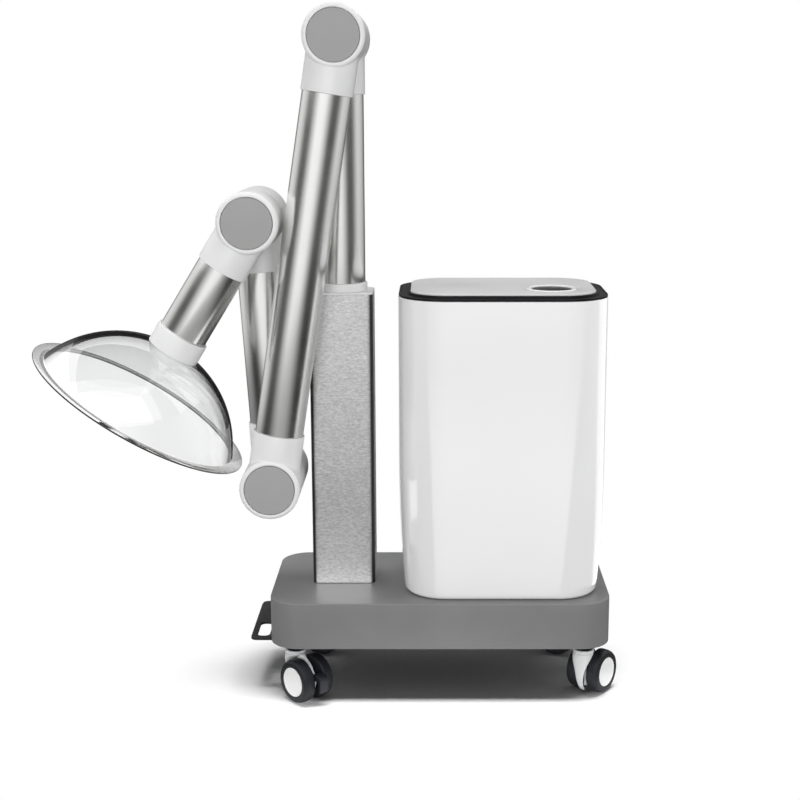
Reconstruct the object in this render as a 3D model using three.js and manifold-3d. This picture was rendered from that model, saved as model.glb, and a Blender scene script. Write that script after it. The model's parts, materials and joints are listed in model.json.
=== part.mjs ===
// Mobile fume extraction arm: a wheeled base with a filter tower, a square steel column, and a
// folding three-joint tube arm that ends in a clear hood. Millimetres, +Z up, -Y is the front.
// The origin lies on the floor under the middle of the whole folded object.
import * as THREE from 'three';
import { mergeVertices } from 'three/addons/utils/BufferGeometryUtils.js';
import Module from 'manifold-3d';

const wasm = await Module();
wasm.setup();

// Clearances
const fit = 0.3;
const jointGap = 0.6;
const runningGap = 0.5;
const overcut = 1;

// Base
const baseWidth = 576;
const baseDepth = 285;
const baseThickness = 80;
const baseCornerRadius = 50;
const baseEdgeBevel = 1.5;
const groundClearance = 97;
const deckWall = 4;
const deckTop = 5;
const floorPlateThickness = 4;
const ductWall = 3;
const ductDepth = 110;
const ductEndMargin = 20;
const airHoleRadius = 34;

// Side handle, a flat plate under the left edge of the base
const handleThickness = 4;
const handleReach = 37;
const handleLength = 190;
const handleShift = 5;
const handleCorner = 10;
const handleRim = 10;
const handleSlotWidth = 21;
const handleSlotLength = 66;
const handleSlotFromFront = 13;
const handleRoot = 20;

// Power inlet and rocker in the rear wall of the base
const inletWidth = 84;
const inletHeight = 34;
const inletDepth = 24;
const inletX = 150;
const inletFlange = 4;
const inletFlangeThickness = 2;
const socketWidth = 26;
const socketHeight = 19;
const socketDepth = 17;
const rockerWidth = 14;
const rockerHeight = 22;
const rockerDepth = 12;
const rockerTilt = 8;
const rockerOffset = 24;
const rockerPinRadius = 2;
const rockerPinLength = 2;
const rockerPlay = 1.5;

// Column
const columnX = -166.5;
const columnY = 6;
const columnWidth = 108;
const columnDepth = 86;
const columnCornerRadius = 12;
const columnWall = 2.5;
const columnHeight = 504;
const columnCapThickness = 3;
const columnCapBevel = 1.2;

// Arm tubes and joints
const tubeRadius = 40;
const tubeWall = 2;
const planeOffset = 90;
const drumRadius = 50;
const drumOuterReach = 44;
const drumEdgeRadius = 6;
const drumBoreRadius = 39.7;
const socketRadius = 42.5;
const socketReach = 90;
const socketSeatDepth = 30;
const capRadius = 42;
const capThickness = 4;
const capSetback = 0.5;
const swivelRingWall = 4;
const swivelRingLength = 36;
const shoulderHeight = 1099.5;
const mastDepthInColumn = 40;
const collarRadius = 43;
const collarHeight = 14;
const upperArmLength = 740;
const halfTurn = 180;
const upperArmLean = 9;
const forearmLength = 440;
const forearmLean = 3.45;
const hoodArmLean = 31.8;

// Hood
const hoodTubeEnd = 222;
const hoodCollarStart = 216;
const hoodCollarRadius = 44;
const hoodNeckStart = 226;
const hoodNeckWall = 3;
const hoodWall = 3;
const hoodRimReach = 363;
const hoodDomeRadius = 176;
const hoodSphereRadius = 191;
const hoodFlangeRadius = 194.5;
const hoodFlangeThickness = 4;

// Filter tower
const towerX = 104.5;
const towerY = -5;
const towerWidth = 347;
const towerDepth = 260;
const towerCornerRadius = 80;
const towerHeight = 506;
const towerWall = 4;
const towerFloor = 6;
const towerTuck = 9;
const towerTuckHeight = 230;
const towerTuckShares = [0.15, 0.35, 0.6, 1];
const towerFootRadius = 10;
const towerRimBevel = 1.5;
const towerInletRadius = 60;

// Tower top
const trimBaseThickness = 2;
const trimLipWidth = 3;
const trimLipHeight = 1.3;
const trimChannelWidth = 12.7;
const trimRiserWidth = 3.7;
const trimRiserHeight = 5;
const trimLedge = 14;
const panelThickness = 8;
const panelBevel = 1.5;
const displayX = 81;
const displayY = -43;
const displayRingRadius = 42;
const displayLensRadius = 33;
const displayRingThickness = 9;
const displayLensThickness = 6;
const displayLensSetback = 0.6;

// Tower insides
const filterWidth = 262;
const filterDepth = 176;
const filterCorner = 8;
const particleFilterHeight = 160;
const carbonFilterHeight = 110;
const filterBoreRadius = 45;
const blowerDeckWidth = 300;
const blowerDeckDepth = 214;
const blowerDeckCorner = 62;
const blowerDeckThickness = 6;
const blowerRadius = 100;
const blowerHeight = 104;
const blowerWall = 3;
const blowerInletRadius = 52;
const impellerRadius = 78;
const impellerHeight = 62;
const impellerLift = 14;
const impellerPlate = 4;
const impellerHubRadius = 14;
const impellerBladeCount = 12;
const impellerBladeLength = 30;
const impellerBladeThickness = 3;
const impellerBladeSetback = 3;
const motorRadius = 46;
const motorHeight = 66;
const motorShaftRadius = 5;
const grilleWidth = 150;
const grilleHeight = 84;
const grilleBarCount = 6;
const grilleFrame = 8;
const grilleBar = 5;
const outletWidth = 110;
const outletHeight = 70;

// Casters
const wheelRadius = 37.5;
const wheelWidth = 21;
const wheelShoulder = 4;
const hubCapRadius = 25;
const hubCapRecess = 1;
const wheelBoreDepth = 15;
const axleRadius = 6;
const forkHalfWidth = 9;
const forkHubRadius = 25;
const casterTrail = 28;
const casterInset = 42;
const stemRadius = 18;
const stemHeight = 19;
const forkCrownBottom = 62;
const forkHubArcEnd = Math.PI * 1.75;
const stemOverlap = 1;
const pedalLength = 18;
const pedalThickness = 5;
const pedalHeight = 26;
const pedalPinHeight = 48;
const pedalEyeRadius = 6;

// Facets round the circles
const fineSteps = 24;
const roundSteps = 16;
const wheelSteps = 18;
const smallSteps = 10;
const cornerSteps = 5;
const edgeSteps = 2;
const domeSteps = 7;

// Heights that follow from the sizes above
const baseTop = groundClearance + baseThickness;
const columnBottom = baseTop + fit;
const columnTop = columnBottom + columnHeight;
const columnCapTop = columnTop + fit + columnCapThickness;
const towerBottom = baseTop + fit;
const towerTop = towerBottom + towerHeight;
const floorPlateTop = groundClearance + floorPlateThickness;
const deckInside = baseTop - deckTop;

const finish = {
  deckGrey: { color: 0x7b7b7c, roughness: 0.55, metalness: 0.1 },
  plateBlack: { color: 0x333436, roughness: 0.5, metalness: 0.3 },
  brushedSteel: { color: 0xc2c2c0, roughness: 0.35, metalness: 1 },
  polishedTube: { color: 0xd0d0cc, roughness: 0.18, metalness: 1 },
  jointWhite: { color: 0xeeeeee, roughness: 0.4, metalness: 0 },
  capGrey: { color: 0xa4a3a3, roughness: 0.6, metalness: 0 },
  clearHood: { color: 0xeef2f4, roughness: 0.05, metalness: 0, transparent: true, opacity: 0.3 },
  glossWhite: { color: 0xf0f0f0, roughness: 0.15, metalness: 0 },
  trimBlack: { color: 0x1f1f20, roughness: 0.35, metalness: 0 },
  panelGrey: { color: 0xc9c9c9, roughness: 0.4, metalness: 0 },
  lensDark: { color: 0x3a3b3d, roughness: 0.1, metalness: 0 },
  filterPaper: { color: 0xe6e2d4, roughness: 0.9, metalness: 0 },
  carbonBlack: { color: 0x26272a, roughness: 0.9, metalness: 0 },
  innerMetal: { color: 0x9a9da0, roughness: 0.5, metalness: 0.8 },
  forkGrey: { color: 0xd2d3d4, roughness: 0.45, metalness: 0 },
  tyreBlack: { color: 0x2c2d31, roughness: 0.7, metalness: 0 },
};

// A closed mesh as a solid that can be joined and cut, and back again
function toSolid(geometry) {
  const bare = geometry.clone();
  bare.deleteAttribute('normal');
  bare.deleteAttribute('uv');
  const merged = mergeVertices(bare, 1e-4);
  const vertProperties = Float32Array.from(merged.attributes.position.array);
  const triVerts = Uint32Array.from(merged.index.array);
  return new wasm.Manifold(new wasm.Mesh({ numProp: 3, vertProperties, triVerts }));
}

function toGeometry(solid) {
  const data = solid.getMesh();
  const geometry = new THREE.BufferGeometry();
  geometry.setAttribute('position', new THREE.BufferAttribute(Float32Array.from(data.vertProperties), 3));
  geometry.setIndex(new THREE.BufferAttribute(Uint32Array.from(data.triVerts), 1));
  return geometry;
}

function join(first, ...others) {
  return toGeometry(others.reduce((sum, item) => sum.add(toSolid(item)), toSolid(first)));
}

function cut(first, ...tools) {
  return toGeometry(tools.reduce((rest, item) => rest.subtract(toSolid(item)), toSolid(first)));
}

// A solid of revolution about Y, or about Z, from [radius, height] points, outer side going up
function turnedY(points, steps) {
  const profile = points.map(([radius, height]) => new THREE.Vector2(radius, height));
  return new THREE.LatheGeometry(profile, steps);
}

function turnedZ(points, steps) {
  return turnedY(points, steps).rotateX(Math.PI / 2);
}

// The corner radius of a faceted bore whose flats just clear a round of this radius
function around(radius, steps) {
  return radius / Math.cos(Math.PI / steps);
}

function ring(inner, outer, low, high) {
  const bore = around(inner, fineSteps);
  return [[bore, low], [outer, low], [outer, high], [bore, high], [bore, low]];
}

function hole(radius, low, high, steps) {
  return rod(around(radius, steps), low, high);
}

function rod(radius, low, high) {
  return [[0, low], [radius, low], [radius, high], [0, high]];
}

// A rectangle with round corners, as points that run anticlockwise
function roundedOutline(width, depth, radius) {
  const points = [];
  const corners = [[1, 1, 0], [-1, 1, 1], [-1, -1, 2], [1, -1, 3]];
  for (const [sideX, sideY, quarter] of corners) {
    for (let step = 0; step <= cornerSteps; step += 1) {
      const angle = (quarter + step / cornerSteps) * Math.PI / 2;
      const x = sideX * (width / 2 - radius) + radius * Math.cos(angle);
      const y = sideY * (depth / 2 - radius) + radius * Math.sin(angle);
      points.push(new THREE.Vector2(x, y));
    }
  }
  return points;
}

// A prism of an outline between two heights, with optional holes
function prism(outline, low, high, holes = []) {
  const shape = new THREE.Shape(outline);
  for (const path of holes) {
    shape.holes.push(new THREE.Path(path));
  }
  const body = new THREE.ExtrudeGeometry(shape, { depth: high - low, bevelEnabled: false });
  return body.translate(0, 0, low);
}

function block(width, depth, low, high, x = 0, y = 0) {
  return new THREE.BoxGeometry(width, depth, high - low).translate(x, y, (low + high) / 2);
}

function circleOutline(radius, x = 0, y = 0) {
  const points = [];
  for (let step = 0; step < roundSteps; step += 1) {
    const angle = step / roundSteps * 2 * Math.PI;
    points.push(new THREE.Vector2(x + radius * Math.cos(angle), y + radius * Math.sin(angle)));
  }
  return points;
}

// A closed skin through a stack of outlines that have equal point counts
function stacked(rows) {
  const count = rows[0].outline.length;
  const positions = [];
  const faces = [];
  for (const { outline, height } of rows) {
    outline.forEach((point) => positions.push(point.x, point.y, height));
  }
  for (let row = 0; row + 1 < rows.length; row += 1) {
    for (let item = 0; item < count; item += 1) {
      const a = row * count + item;
      const b = row * count + (item + 1) % count;
      faces.push(a, b, b + count, a, b + count, a + count);
    }
  }
  const last = (rows.length - 1) * count;
  for (let item = 1; item + 1 < count; item += 1) {
    faces.push(0, item + 1, item);
    faces.push(last, last + item, last + item + 1);
  }
  const geometry = new THREE.BufferGeometry();
  geometry.setAttribute('position', new THREE.Float32BufferAttribute(positions, 3));
  geometry.setIndex(faces);
  return geometry;
}

function piece(name, geometry, look) {
  const mesh = new THREE.Mesh(geometry, new THREE.MeshStandardMaterial(look));
  mesh.name = name;
  geometry.computeVertexNormals();
  return mesh;
}

function groupAt(x, y, z) {
  const group = new THREE.Group();
  group.position.set(x, y, z);
  return group;
}

const radians = THREE.MathUtils.degToRad;
const arm = new THREE.Group();

// Base: a deck shell open below, closed by a floor plate, with an air duct inside
function handlePlan() {
  const left = -baseWidth / 2 - handleReach;
  const right = -baseWidth / 2 + handleRoot;
  const plan = roundedOutline(right - left, handleLength, handleCorner);
  return plan.map((point) => point.add(new THREE.Vector2((left + right) / 2, handleShift)));
}

function makeBase() {
  const group = new THREE.Group();
  const inset = (size) => roundedOutline(baseWidth - 2 * size, baseDepth - 2 * size,
    baseCornerRadius - size);
  const blank = stacked([
    { outline: inset(0), height: groundClearance },
    { outline: inset(0), height: baseTop - baseEdgeBevel },
    { outline: inset(baseEdgeBevel), height: baseTop },
  ]);
  const pocket = prism(inset(deckWall), groundClearance - overcut, deckInside);
  const columnHole = turnedZ(rod(airHoleRadius, deckInside - overcut, baseTop + overcut), roundSteps);
  const towerHole = columnHole.clone();
  columnHole.translate(columnX, columnY, 0);
  towerHole.translate(towerX, towerY, 0);
  const inletZ = (groundClearance + baseTop) / 2;
  const window = block(inletWidth + 2 * fit, 2 * (deckWall + overcut), inletZ - inletHeight / 2 - fit,
    inletZ + inletHeight / 2 + fit, inletX, baseDepth / 2);
  group.add(piece('base_deck', cut(blank, pocket, columnHole, towerHole, window), finish.deckGrey));

  const plate = prism(inset(deckWall + fit), groundClearance, floorPlateTop);
  group.add(piece('floor_plate', plate, finish.plateBlack));

  const ductLow = floorPlateTop + fit;
  const ductHigh = deckInside - fit;
  const ductLeft = columnX - airHoleRadius - ductEndMargin;
  const ductRight = towerX + airHoleRadius + ductEndMargin;
  const ductMid = (ductLeft + ductRight) / 2;
  const ductLength = ductRight - ductLeft;
  const ductOuter = block(ductLength, ductDepth, ductLow, ductHigh, ductMid, 0);
  const ductInner = block(ductLength - 2 * ductWall, ductDepth - 2 * ductWall, ductLow + ductWall,
    ductHigh - ductWall, ductMid, 0);
  const mouth = turnedZ(rod(airHoleRadius, ductHigh - ductWall - overcut, ductHigh + overcut), roundSteps);
  const duct = cut(ductOuter, ductInner, mouth.clone().translate(columnX, columnY, 0),
    mouth.clone().translate(towerX, towerY, 0));
  group.add(piece('base_duct', duct, finish.innerMetal));

  const slotX = -baseWidth / 2 - handleReach + handleRim + handleSlotWidth / 2;
  const slotY = handleShift - handleLength / 2 + handleSlotFromFront + handleSlotLength / 2;
  const slotPlan = roundedOutline(handleSlotWidth, handleSlotLength, handleCorner - fit);
  slotPlan.forEach((point) => point.add(new THREE.Vector2(slotX, slotY)));
  const handleTop = groundClearance - fit;
  const handle = prism(handlePlan(), handleTop - handleThickness, handleTop, [slotPlan]);
  group.add(piece('side_handle', handle, finish.plateBlack));

  group.add(makeInlet(inletZ), makeRocker(inletZ));
  return group;
}

// Inlet module: a body through the rear wall with a socket recess and a window for the rocker
function makeInlet(inletZ) {
  const back = baseDepth / 2;
  const rockerX = inletX + rockerOffset;
  const socketX = inletX - rockerOffset / 2 - fit;
  const flangeLow = back + fit;
  const flangeHigh = flangeLow + inletFlangeThickness;
  const flange = new THREE.BoxGeometry(inletWidth + 2 * inletFlange, inletFlangeThickness,
    inletHeight + 2 * inletFlange).translate(inletX, (flangeLow + flangeHigh) / 2, inletZ);
  const bodyHigh = flangeLow + inletFlangeThickness / 2;
  const body = new THREE.BoxGeometry(inletWidth, inletDepth, inletHeight)
    .translate(inletX, bodyHigh - inletDepth / 2, inletZ);
  const socket = new THREE.BoxGeometry(socketWidth, socketDepth, socketHeight)
    .translate(socketX, flangeHigh + overcut - socketDepth / 2, inletZ);
  const rockerWindow = new THREE.BoxGeometry(rockerWidth + 2 * runningGap, 2 * (inletDepth + overcut),
    rockerHeight + 2 * rockerPlay).translate(rockerX, back, inletZ);
  const pinReach = rockerWidth / 2 + rockerPinLength + fit;
  const pinHole = turnedY(hole(rockerPinRadius + fit, -pinReach, pinReach, smallSteps), smallSteps)
    .rotateZ(Math.PI / 2).translate(rockerX, back - rockerDepth / 2, inletZ);
  return piece('power_inlet', cut(join(flange, body), socket, rockerWindow, pinHole), finish.trimBlack);
}

function makeRocker(inletZ) {
  const back = baseDepth / 2;
  const tip = Math.tan(radians(rockerTilt)) * rockerHeight / 2;
  const shape = new THREE.Shape();
  shape.moveTo(-rockerHeight / 2, -tip);
  shape.lineTo(0, 0);
  shape.lineTo(rockerHeight / 2, -tip);
  shape.lineTo(rockerHeight / 2 - tip, -rockerDepth);
  shape.lineTo(-rockerHeight / 2 + tip, -rockerDepth);
  const body = new THREE.ExtrudeGeometry(shape, { depth: rockerWidth, bevelEnabled: false });
  body.translate(0, rockerDepth / 2, -rockerWidth / 2);
  const pin = new THREE.CylinderGeometry(rockerPinRadius, rockerPinRadius,
    rockerWidth + 2 * rockerPinLength, smallSteps).rotateX(Math.PI / 2);
  const rocker = join(body, pin);
  rocker.applyMatrix4(new THREE.Matrix4().makeBasis(
    new THREE.Vector3(0, 0, 1), new THREE.Vector3(0, 1, 0), new THREE.Vector3(-1, 0, 0)));
  const mesh = piece('mains_switch', rocker, finish.plateBlack);
  mesh.position.set(inletX + rockerOffset, back - rockerDepth / 2, inletZ);
  mesh.rotation.x = radians(rockerTilt);
  return mesh;
}

// Column: a square steel tube with a lid that the mast passes through
function makeColumn() {
  const group = groupAt(columnX, columnY, 0);
  const inset = (size) => roundedOutline(columnWidth - 2 * size, columnDepth - 2 * size,
    columnCornerRadius - size);
  const tube = prism(inset(0), columnBottom, columnTop, [inset(columnWall)]);
  group.add(piece('column', tube, finish.brushedSteel));
  const lidLow = columnTop + fit;
  const lid = stacked([
    { outline: inset(0), height: lidLow },
    { outline: inset(0), height: columnCapTop - columnCapBevel },
    { outline: inset(columnCapBevel), height: columnCapTop },
  ]);
  const bore = turnedZ(hole(tubeRadius + fit, lidLow - overcut, columnCapTop + overcut, fineSteps),
    fineSteps);
  group.add(piece('column_cap', cut(lid, bore), finish.brushedSteel));
  return group;
}

const seatInset = socketReach - socketSeatDepth;

// Elbow: a drum about Y whose open face meets its partner, with a tube socket along +Z.
// The capped face of the drum looks to the front.
function elbowGeometry() {
  const front = -drumOuterReach;
  const back = planeOffset / 2 - jointGap / 2;
  const edge = [];
  for (let step = 0; step <= edgeSteps; step += 1) {
    const angle = step / edgeSteps * Math.PI / 2;
    edge.push([drumRadius - drumEdgeRadius + drumEdgeRadius * Math.sin(angle),
      front + drumEdgeRadius - drumEdgeRadius * Math.cos(angle)]);
  }
  const drum = turnedY([[0, front], ...edge, [drumRadius, back], [0, back]], fineSteps);
  const socket = turnedZ(rod(socketRadius, 0, socketReach), fineSteps);
  const drumBore = turnedY(hole(drumBoreRadius, front - overcut, back + overcut, fineSteps), fineSteps);
  const seatBack = front + capSetback + capThickness + fit;
  const capSeat = turnedY(hole(capRadius + fit, front - overcut, seatBack, fineSteps), fineSteps);
  const mouth = socketReach + overcut;
  const airBore = turnedZ(rod(tubeRadius - tubeWall, 0, mouth), roundSteps);
  const tubeSeat = turnedZ(hole(tubeRadius + fit, seatInset - fit, mouth, fineSteps), fineSteps);
  return cut(join(drum, socket), drumBore, capSeat, airBore, tubeSeat);
}

const elbowShape = elbowGeometry();

function elbow(name, plane, along, socketDown) {
  const mesh = piece(name, elbowShape.clone(), finish.jointWhite);
  placeAtJoint(mesh, plane, along, socketDown);
  return mesh;
}

function cap(name, plane, along) {
  const front = -drumOuterReach + capSetback;
  const disc = turnedY(rod(capRadius, front, front + capThickness), fineSteps);
  const mesh = piece(name, disc, finish.capGrey);
  placeAtJoint(mesh, plane, along, false);
  return mesh;
}

// The front plane carries the upper arm and the hood arm, the rear plane the mast and forearm
function placeAtJoint(mesh, plane, along, socketDown) {
  const rear = plane === 'rear';
  mesh.position.set(0, rear ? 0 : -planeOffset, along);
  if (rear && socketDown) {
    mesh.rotation.x = Math.PI;
  } else if (rear) {
    mesh.rotation.z = Math.PI;
  } else if (socketDown) {
    mesh.rotation.y = Math.PI;
  }
}

function swivelRing(name, along) {
  const outer = drumBoreRadius - fit;
  const half = swivelRingLength / 2;
  const shape = turnedY(ring(outer - swivelRingWall, outer, -half, half), fineSteps);
  const mesh = piece(name, shape, finish.trimBlack);
  mesh.position.set(0, -planeOffset / 2, along);
  return mesh;
}

function tube(name, plane, from, to) {
  const shape = turnedZ(ring(tubeRadius - tubeWall, tubeRadius, from, to), fineSteps);
  const mesh = piece(name, shape, finish.polishedTube);
  mesh.position.y = plane === 'rear' ? 0 : -planeOffset;
  return mesh;
}

// A group whose +Z runs along an arm link from its joint
function linkGroup(x, z, lean) {
  const group = groupAt(x, columnY, z);
  group.rotation.y = radians(lean);
  return group;
}

const domeCentre = hoodRimReach + Math.sqrt(hoodSphereRadius ** 2 - hoodDomeRadius ** 2);
const domeNeck = domeCentre - Math.sqrt(hoodSphereRadius ** 2 - tubeRadius ** 2);
const shoulder = { x: columnX, z: shoulderHeight };
const elbowJoint = {
  x: shoulder.x - upperArmLength * Math.sin(radians(upperArmLean)),
  z: shoulder.z - upperArmLength * Math.cos(radians(upperArmLean)),
};
const wrist = {
  x: elbowJoint.x - forearmLength * Math.sin(radians(forearmLean)),
  z: elbowJoint.z + forearmLength * Math.cos(radians(forearmLean)),
};

function makeMast() {
  const group = groupAt(columnX, columnY, 0);
  const collarLow = columnCapTop + fit;
  const collarRing = ring(tubeRadius + fit, collarRadius, collarLow, collarLow + collarHeight);
  group.add(piece('swivel_collar', turnedZ(collarRing, fineSteps), finish.jointWhite));
  group.add(tube('mast_tube', 'rear', columnTop - mastDepthInColumn, shoulderHeight - seatInset));
  group.add(elbow('mast_elbow', 'rear', shoulderHeight, true));
  group.add(cap('mast_elbow_cap', 'rear', shoulderHeight));
  group.add(swivelRing('shoulder_ring', shoulderHeight));
  return group;
}

function makeUpperArm() {
  const group = linkGroup(shoulder.x, shoulder.z, halfTurn + upperArmLean);
  group.add(elbow('shoulder_elbow', 'front', 0, false));
  group.add(cap('shoulder_cap', 'front', 0));
  group.add(tube('upper_tube', 'front', seatInset, upperArmLength - seatInset));
  group.add(elbow('upper_arm_elbow', 'front', upperArmLength, true));
  group.add(cap('upper_arm_elbow_cap', 'front', upperArmLength));
  group.add(swivelRing('elbow_ring', upperArmLength));
  return group;
}

function makeForearm() {
  const group = linkGroup(elbowJoint.x, elbowJoint.z, -forearmLean);
  group.add(elbow('forearm_lower_elbow', 'rear', 0, false));
  group.add(cap('forearm_lower_cap', 'rear', 0));
  group.add(tube('forearm_tube', 'rear', seatInset, forearmLength - seatInset));
  group.add(elbow('forearm_upper_elbow', 'rear', forearmLength, true));
  group.add(cap('forearm_upper_cap', 'rear', forearmLength));
  group.add(swivelRing('wrist_ring', forearmLength));
  return group;
}

function domePoints(radius, fromRadius, toRadius) {
  const points = [];
  for (let step = 0; step <= domeSteps; step += 1) {
    const start = Math.asin(fromRadius / radius);
    const end = Math.asin(toRadius / radius);
    const angle = start + (end - start) * step / domeSteps;
    points.push([radius * Math.sin(angle), domeCentre - radius * Math.cos(angle)]);
  }
  return points;
}

function hoodGeometry() {
  const neckOuter = tubeRadius;
  const neckInner = neckOuter - hoodNeckWall;
  const flangeTop = hoodRimReach - hoodFlangeThickness;
  const innerSphere = hoodSphereRadius - hoodWall;
  const outerAtFlange = Math.sqrt(hoodSphereRadius ** 2 - (domeCentre - flangeTop) ** 2);
  const innerAtRim = Math.sqrt(innerSphere ** 2 - (domeCentre - hoodRimReach) ** 2);
  const outside = domePoints(hoodSphereRadius, neckOuter, outerAtFlange);
  const inside = domePoints(innerSphere, neckInner, innerAtRim).reverse();
  const profile = [[neckInner, hoodNeckStart], [neckOuter, hoodNeckStart], ...outside,
    [hoodFlangeRadius, flangeTop], [hoodFlangeRadius, hoodRimReach], ...inside,
    [neckInner, hoodNeckStart]];
  return turnedZ(profile, fineSteps);
}

function makeHoodArm() {
  const group = linkGroup(wrist.x, wrist.z, halfTurn + hoodArmLean);
  group.add(elbow('wrist_elbow', 'front', 0, false));
  group.add(cap('wrist_cap', 'front', 0));
  group.add(tube('hood_tube', 'front', seatInset, hoodTubeEnd));
  const collarRing = ring(tubeRadius + fit, hoodCollarRadius, hoodCollarStart, domeNeck - fit);
  const collar = piece('hood_collar', turnedZ(collarRing, fineSteps), finish.jointWhite);
  const hood = piece('hood', hoodGeometry(), finish.clearHood);
  for (const mesh of [collar, hood]) {
    mesh.position.y = -planeOffset;
    group.add(mesh);
  }
  return group;
}

// Filter tower: an open-topped shell that draws in towards its foot
function towerOutline(size) {
  return roundedOutline(towerWidth - 2 * size, towerDepth - 2 * size, towerCornerRadius - size);
}

function tuckAt(height) {
  const share = Math.max(0, 1 - height / towerTuckHeight);
  return towerTuck * share * share;
}

function towerRows(extra, low, high) {
  const heights = [low];
  for (const share of towerTuckShares) {
    heights.push(low + (towerTuckHeight - low) * share);
  }
  heights.push(high);
  return heights.map((height) => ({
    outline: towerOutline(tuckAt(height) + extra),
    height: towerBottom + height,
  }));
}

function makeTower() {
  const group = groupAt(towerX, towerY, 0);
  const foot = [];
  for (let step = 0; step < edgeSteps; step += 1) {
    const angle = step / edgeSteps * Math.PI / 2;
    const height = towerFootRadius * (1 - Math.cos(angle));
    const inward = towerFootRadius * (1 - Math.sin(angle));
    foot.push({ outline: towerOutline(tuckAt(height) + inward), height: towerBottom + height });
  }
  const sides = towerRows(0, towerFootRadius, towerHeight - towerRimBevel);
  const rim = { outline: towerOutline(towerRimBevel), height: towerTop };
  const outer = stacked([...foot, ...sides, rim]);
  const inner = stacked(towerRows(towerWall, towerFloor, towerHeight + overcut));
  const floorHole = turnedZ(rod(towerInletRadius, towerBottom - overcut,
    towerBottom + towerFloor + overcut), roundSteps);
  const grilleZ = grilleHeightMid();
  const window = block(grilleWidth + 2 * fit, 2 * (towerWall + overcut), grilleZ - grilleHeight / 2 - fit,
    grilleZ + grilleHeight / 2 + fit, 0, towerDepth / 2);
  group.add(piece('tower_shell', cut(outer, inner, floorHole, window), finish.glossWhite));
  group.add(...makeTowerTop(), ...makeFilters(), ...makeBlower(), makeGrille(grilleZ));
  return group;
}

function makeTowerTop() {
  const low = towerTop + fit;
  const baseHigh = low + trimBaseThickness;
  const lipIn = fit + trimLipWidth;
  const riserOut = lipIn + trimChannelWidth;
  const riserIn = riserOut + trimRiserWidth;
  const frame = prism(towerOutline(fit), low, baseHigh, [towerOutline(riserIn + trimLedge)]);
  const lip = prism(towerOutline(fit), low, baseHigh + trimLipHeight, [towerOutline(lipIn)]);
  const riser = prism(towerOutline(riserOut), low, baseHigh + trimRiserHeight, [towerOutline(riserIn)]);
  const panelLow = baseHigh + fit;
  const panelHigh = panelLow + panelThickness;
  const panelBlank = stacked([
    { outline: towerOutline(riserIn + fit), height: panelLow },
    { outline: towerOutline(riserIn + fit), height: panelHigh - panelBevel },
    { outline: towerOutline(riserIn + fit + panelBevel), height: panelHigh },
  ]);
  const displayHole = turnedZ(hole(displayRingRadius + fit, panelLow - overcut, panelHigh + overcut,
    fineSteps), fineSteps);
  displayHole.translate(displayX, displayY, 0);
  const ringHigh = panelHigh + fit;
  const displayRing = turnedZ(ring(displayLensRadius + fit, displayRingRadius,
    ringHigh - displayRingThickness, ringHigh), fineSteps);
  const lensHigh = ringHigh - displayLensSetback;
  const lens = turnedZ(rod(displayLensRadius, lensHigh - displayLensThickness, lensHigh), fineSteps);
  return [
    piece('top_trim', join(frame, lip, riser), finish.trimBlack),
    piece('top_panel', cut(panelBlank, displayHole), finish.panelGrey),
    piece('display_ring', displayRing.translate(displayX, displayY, 0), finish.glossWhite),
    piece('display_lens', lens.translate(displayX, displayY, 0), finish.lensDark),
  ];
}

const particleLow = towerBottom + towerFloor + fit;
const particleHigh = particleLow + particleFilterHeight;
const carbonLow = particleHigh + fit;
const carbonHigh = carbonLow + carbonFilterHeight;
const blowerDeckLow = carbonHigh + fit;
const blowerDeckHigh = blowerDeckLow + blowerDeckThickness;
const blowerLow = blowerDeckHigh + fit;
const blowerHigh = blowerLow + blowerHeight;

function grilleHeightMid() {
  return (blowerLow + blowerHigh) / 2;
}

// Filters are blocks with a blind well in their upper face
function makeFilters() {
  const plan = roundedOutline(filterWidth, filterDepth, filterCorner);
  const well = (high, depth) => turnedZ(rod(filterBoreRadius, high - depth, high + overcut), roundSteps);
  const particle = cut(prism(plan, particleLow, particleHigh), well(particleHigh, particleFilterHeight / 2));
  const carbon = cut(prism(plan, carbonLow, carbonHigh), well(carbonHigh, carbonFilterHeight / 2));
  return [
    piece('particle_filter', particle, finish.filterPaper),
    piece('carbon_filter', carbon, finish.carbonBlack),
  ];
}

// Blower: a drum housing over a deck, with the motor on top and its impeller inside
function makeBlower() {
  const deckPlan = roundedOutline(blowerDeckWidth, blowerDeckDepth, blowerDeckCorner);
  const deck = prism(deckPlan, blowerDeckLow, blowerDeckHigh, [circleOutline(blowerInletRadius)]);
  const shaftHole = around(motorShaftRadius + fit, fineSteps);
  const housing = turnedZ([
    [blowerRadius - blowerWall, blowerLow], [blowerRadius, blowerLow], [blowerRadius, blowerHigh],
    [shaftHole, blowerHigh], [shaftHole, blowerHigh - blowerWall],
    [blowerRadius - blowerWall, blowerHigh - blowerWall], [blowerRadius - blowerWall, blowerLow],
  ], fineSteps);
  const outletMid = grilleHeightMid();
  const outlet = block(outletWidth, blowerRadius, outletMid - outletHeight / 2, outletMid + outletHeight / 2,
    0, blowerRadius);
  const motorLow = blowerHigh + fit;
  const shaftLow = blowerLow + impellerLift;
  const motor = turnedZ([
    [0, shaftLow], [motorShaftRadius, shaftLow], [motorShaftRadius, motorLow], [motorRadius, motorLow],
    [motorRadius, motorLow + motorHeight], [0, motorLow + motorHeight],
  ], roundSteps);
  return [
    piece('blower_deck', deck, finish.innerMetal),
    piece('blower_housing', cut(housing, outlet), finish.innerMetal),
    piece('blower_motor', motor, finish.innerMetal),
    piece('impeller', impellerGeometry(), finish.trimBlack),
  ];
}

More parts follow.
